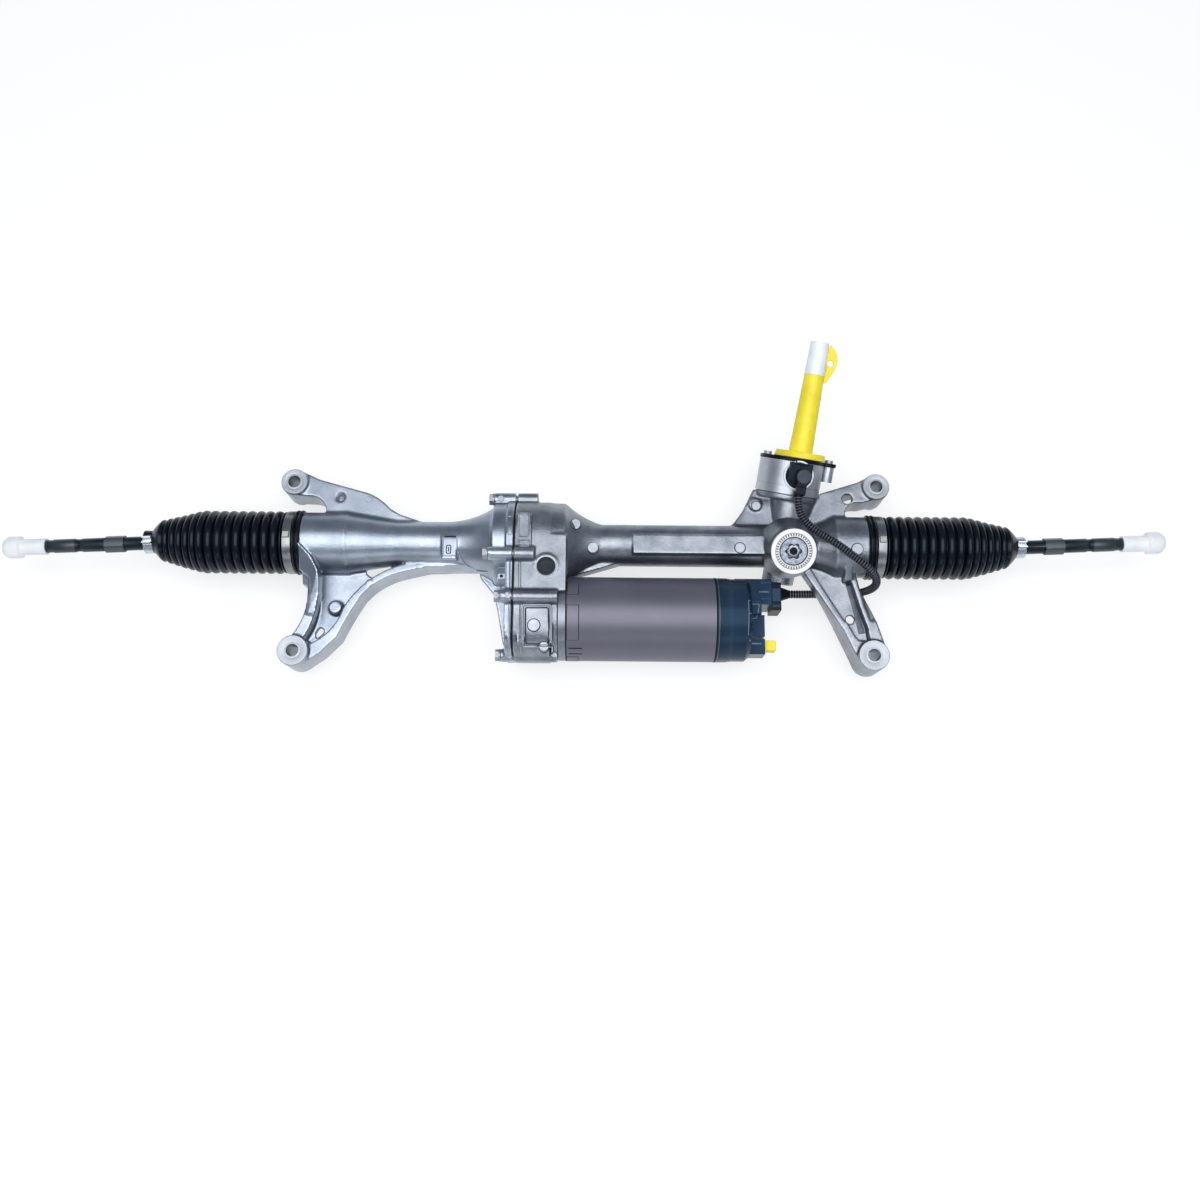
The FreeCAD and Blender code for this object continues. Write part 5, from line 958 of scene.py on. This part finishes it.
# Boots
# Black rubber bellows between housing and tie rod: a thick cuff with two beads, round folds with narrow
# valleys, and a taper to the small end. Each is three pieces that meet at valleys.
boot_rubber = lived_in("boot_rubber", (0.0015, 0.0022, 0.004), (0.004, 0.006, 0.010), 0.0, (0.20, 0.28),
                       grain=2.0, blotch=20.0, bump=0.05, shine=0.27, tint=(0.72, 0.86, 1.0))
ball_joint_x = 419.5
tie_rod_lean = 2.5
boot_start = 293.3
boot_end = 461.0
bead_starts = [boot_start, 297.7]
bead_width = 3.4
bead_radius = 34.0
cuff_radius = 32.1
boot_radius = 33.0
long_depth = 5.0
short_depth = 3.6
first_fold = 310.3
first_edges = [314.8 + 9.6 * fold for fold in range(9)]
last_edges = [400.2 + 7.6 * fold for fold in range(5)]
fold_edges = np.array([first_fold] + first_edges + last_edges + [438.2])
shallow_from = 10
taper_start = 399.0
last_crest = 434.4
last_radius = 23.8
end_stations = [last_crest, 437.6, 439.2, 440.8, 443.4, 446.4, 449.2, 451.2, 452.6, 461.0]
end_radii = [last_radius, 20.6, 21.6, 22.2, 20.4, 17.4, 14.4, 12.0, 9.9, 9.9]
boot_wall = 1.3
boot_step = 0.42


def crest_radius(x):
    """Outer radius of the folds: level, then a straight taper to the last crest."""
    share = np.clip((x - taper_start) / (last_crest - taper_start), 0, 1)
    return boot_radius + (last_radius - boot_radius) * share


def boot_outline(x):
    """Radius of the bellows: r = crest - depth * (1 - |sin(pi f)| ^ 0.5) with f the share of a fold,
    beads as half rounds on the cuff, and a rounded cone from the last crest down to the small cuff."""
    number = np.clip(np.searchsorted(fold_edges, x, side="right") - 1, 0, len(fold_edges) - 2)
    share = np.clip((x - fold_edges[number]) / (fold_edges[number + 1] - fold_edges[number]), 0, 1)
    depth = np.where(x > fold_edges[shallow_from], short_depth, long_depth)
    top = crest_radius(x) - np.where(number == 0, 0.8, 0.0)
    radius = top - depth * (1 - np.sin(math.pi * share) ** 0.5)
    cuff = np.full_like(x, cuff_radius)
    for start in bead_starts:
        across = np.clip((x - start) / bead_width, 0, 1)
        cuff += (bead_radius - cuff_radius) * np.sqrt(np.sin(math.pi * across))
    radius = np.where(x < fold_edges[0], cuff, radius)
    return np.where(x > last_crest, np.interp(x, end_stations, end_radii), radius)


def boot_centre(x):
    """Height of the middle line: the rack axis, then the tie rod's own line beyond the ball joint."""
    return rack_y + np.clip(x - ball_joint_x, 0, None) * math.tan(math.radians(tie_rod_lean))


def boot_mesh(name, side, x_low, x_high, sides=96):
    """Closed skin of one stretch of a boot, outside and inside."""
    x = np.linspace(x_low, x_high, int((x_high - x_low) / boot_step) + 2)
    outer = boot_outline(x)
    inner = outer - boot_wall
    x = np.concatenate([x, x[::-1]])
    radius = np.concatenate([outer, inner[::-1]])
    angle = np.linspace(0, 2 * math.pi, sides, endpoint=False)
    points = np.zeros((len(x), sides, 3))
    points[:, :, 0] = side * x[:, None]
    points[:, :, 1] = boot_centre(x)[:, None] + radius[:, None] * np.cos(angle)[None, :]
    points[:, :, 2] = rack_z + radius[:, None] * np.sin(angle)[None, :]
    return grid_mesh(name, points, True, True)


boot_cuts = [boot_start, fold_edges[12], fold_edges[14], boot_end]
for side, word in ((-1, "left"), (1, "right")):
    for number in range(3):
        low, high = boot_cuts[number], boot_cuts[number + 1]
        piece_name = word + "_boot_" + ("inner", "middle", "outer")[number]
        piece = show(piece_name, boot_mesh(piece_name, side, low, high), boot_rubber, None)
        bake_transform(piece)
        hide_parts(word + "_boot")

# Clamps
# Stainless ear clamps hold the large ends of the boots, zinc spring clamps the small ends.
band_steel = lived_in("band_steel", (0.19, 0.20, 0.21), (0.30, 0.31, 0.31), 1.0, (0.24, 0.36),
                      grain=0.6, blotch=12.0, bump=0.08)
cad_piece("band_clamps", band_steel, "housing", 0.3)
clamp_zinc = lived_in("clamp_zinc", (0.40, 0.44, 0.48), (0.62, 0.66, 0.70), 0.9, (0.20, 0.32),
                      grain=0.6, blotch=6.0, bump=0.1)
for word in ("left", "right"):
    cad_piece(word + "_wire_clamp", clamp_zinc, word + "_tie", 0.5)
# drops of marking paint: x, y, radius
paint_dots = [(-95.0, 93.4, 0.8), (-82.5, 50.4, 0.9), (-302.6, 98.3, 0.9)]
marking_paint = lived_in("marking_paint", (0.40, 0.13, 0.015), (0.62, 0.24, 0.03), 0.0, (0.4, 0.5),
                         blotch=2.0)
bpy.context.view_layer.update()
painted = [bpy.data.objects[name] for name in ("left_casting", "housing_bolts_shown", "band_clamps_shown")]
dot_meshes = [lathe_mesh("dot", (x, y, top_height(painted, x, y)), (0, 0, 1),
                         [(-0.6, 0.0), (0.18, 0.0), (0.1, radius), (-0.6, radius)], 16)
              for x, y, radius in paint_dots]
show("paint_dots", joined("paint_dots", dot_meshes), marking_paint)

# Tie rods and sockets
# Black phosphated forgings with a hexagon, and steel sockets hidden in the boots; milky caps guard the
# threads.
rod_black = lived_in("rod_black", (0.005, 0.008, 0.013), (0.016, 0.021, 0.030), 0.45, (0.28, 0.40),
                     grain=0.7, blotch=10.0, bump=0.18, edge=(0.14, 0.15, 0.17), edge_share=0.6)
for word in ("left", "right"):
    cad_piece(word + "_tie_rod", rod_black, word + "_tie", 0.5)
    cad_piece(word + "_thread_cap", cap_plastic, word + "_tie", 0.8)
    cad_piece(word + "_socket", steel, "rack", 0.5)
    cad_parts[word + "_ball_seat"].data.materials[0] = white_plastic

# Hidden pieces
# What lies inside the castings keeps its CAD shape and takes a plain detailed finish.
copper_wire = lived_in("copper_wire", (0.45, 0.20, 0.08), (0.75, 0.38, 0.18), 1.0, (0.3, 0.4), blotch=4.0)
board_green = lived_in("board_green", (0.01, 0.08, 0.03), (0.03, 0.16, 0.07), 0.0, (0.3, 0.5), blotch=5.0)
hidden_finish = {
    steel: ["rack_bar", "ball_nut", "screw_balls", "nut_bearing_inner", "nut_bearing_outer",
            "nut_bearing_retainer", "motor_bearings", "motor_shaft", "pinion_shaft", "torsion_bar",
            "pinion_needle_bearing", "pinion_ball_bearing", "yoke_spring"],
    flange_metal: ["nut_pulley", "motor_pulley", "yoke"],
    seal_rubber: ["drive_belt", "rack_end_stops"],
    plug_plastic: ["torque_sensor"],
    white_plastic: ["rack_bushing"],
    rod_black: ["motor_stator", "motor_rotor", "sensor_magnet_ring"],
    copper_wire: ["motor_windings"],
    board_green: ["control_board"]}
for finish, names in hidden_finish.items():
    for name in names:
        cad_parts[name].data.materials[0] = finish

# Floor and light
# Pale floor that shows white to the camera, two soft lamps overhead and a soft surround for the metal to
# mirror.
floor_mesh = bpy.data.meshes.new("floor")
floor_reach = 4.0
floor_low = cad_low.z - 2.0 * mm
floor_corners = [(x * floor_reach, y * floor_reach, floor_low)
                 for x, y in ((-1, -1), (1, -1), (1, 1), (-1, 1))]
floor_mesh.from_pydata(floor_corners, [], [(0, 1, 2, 3)])
floor = new_object("floor", floor_mesh)
floor_material, floor_tree, floor_shader = shader("floor_paper", (0.80, 0.80, 0.80), 0.0, 0.9)
paper_shadow = node(floor_tree, "ShaderNodeBsdfDiffuse", {"Color": (0.35, 0.35, 0.35, 1)})
paper_glow = node(floor_tree, "ShaderNodeEmission", {"Color": (1, 1, 1, 1), "Strength": 0.7})
paper_seen = node(floor_tree, "ShaderNodeAddShader")
floor_tree.links.new(paper_shadow.outputs[0], paper_seen.inputs[0])
floor_tree.links.new(paper_glow.outputs[0], paper_seen.inputs[1])


def seen_directly(tree):
    """1 for camera, glossy and transmission rays."""
    rays = node(tree, "ShaderNodeLightPath")
    mirror = math_node(tree, "MAXIMUM", rays.outputs["Is Glossy Ray"], rays.outputs["Is Transmission Ray"])
    return math_node(tree, "MAXIMUM", rays.outputs["Is Camera Ray"], mirror)


paper_mix = node(floor_tree, "ShaderNodeMixShader")
floor_tree.links.new(seen_directly(floor_tree), paper_mix.inputs["Fac"])
floor_tree.links.new(floor_shader.outputs[0], paper_mix.inputs[1])
floor_tree.links.new(paper_seen.outputs[0], paper_mix.inputs[2])
floor_tree.links.new(paper_mix.outputs[0], floor_tree.nodes["Material Output"].inputs["Surface"])
floor_mesh.materials.append(floor_material)

world = bpy.data.worlds.new("studio")
bpy.context.scene.world = world
world.use_nodes = True
sky = world.node_tree
background = sky.nodes["Background"]
sky_height = node(sky, "ShaderNodeSeparateXYZ")
sky.links.new(node(sky, "ShaderNodeTexCoord").outputs["Generated"], sky_height.inputs["Vector"])
sky_colour = colour_mix(sky, sky_height.outputs["Z"], (0.27, 0.31, 0.38), (0.20, 0.23, 0.28))
sky.links.new(sky_colour, background.inputs["Color"])

for name, place, target, size, power in (
        ("key", (0.0, -0.02, 1.6), (0.0, -0.02, 0.0), (2.4, 1.35), 30.0),
        ("fill", (0.0, -1.5, 0.8), (0.0, 0.1, 0.0), (1.8, 0.5), 4.0)):
    lamp_data = bpy.data.lights.new(name, "AREA")
    lamp_data.shape = "RECTANGLE"
    lamp_data.size, lamp_data.size_y = size
    lamp_data.energy = power
    lamp = new_object(name, lamp_data)
    lamp.location = place
    lamp.rotation_euler = (Vector(target) - Vector(place)).to_track_quat("-Z", "Y").to_euler()
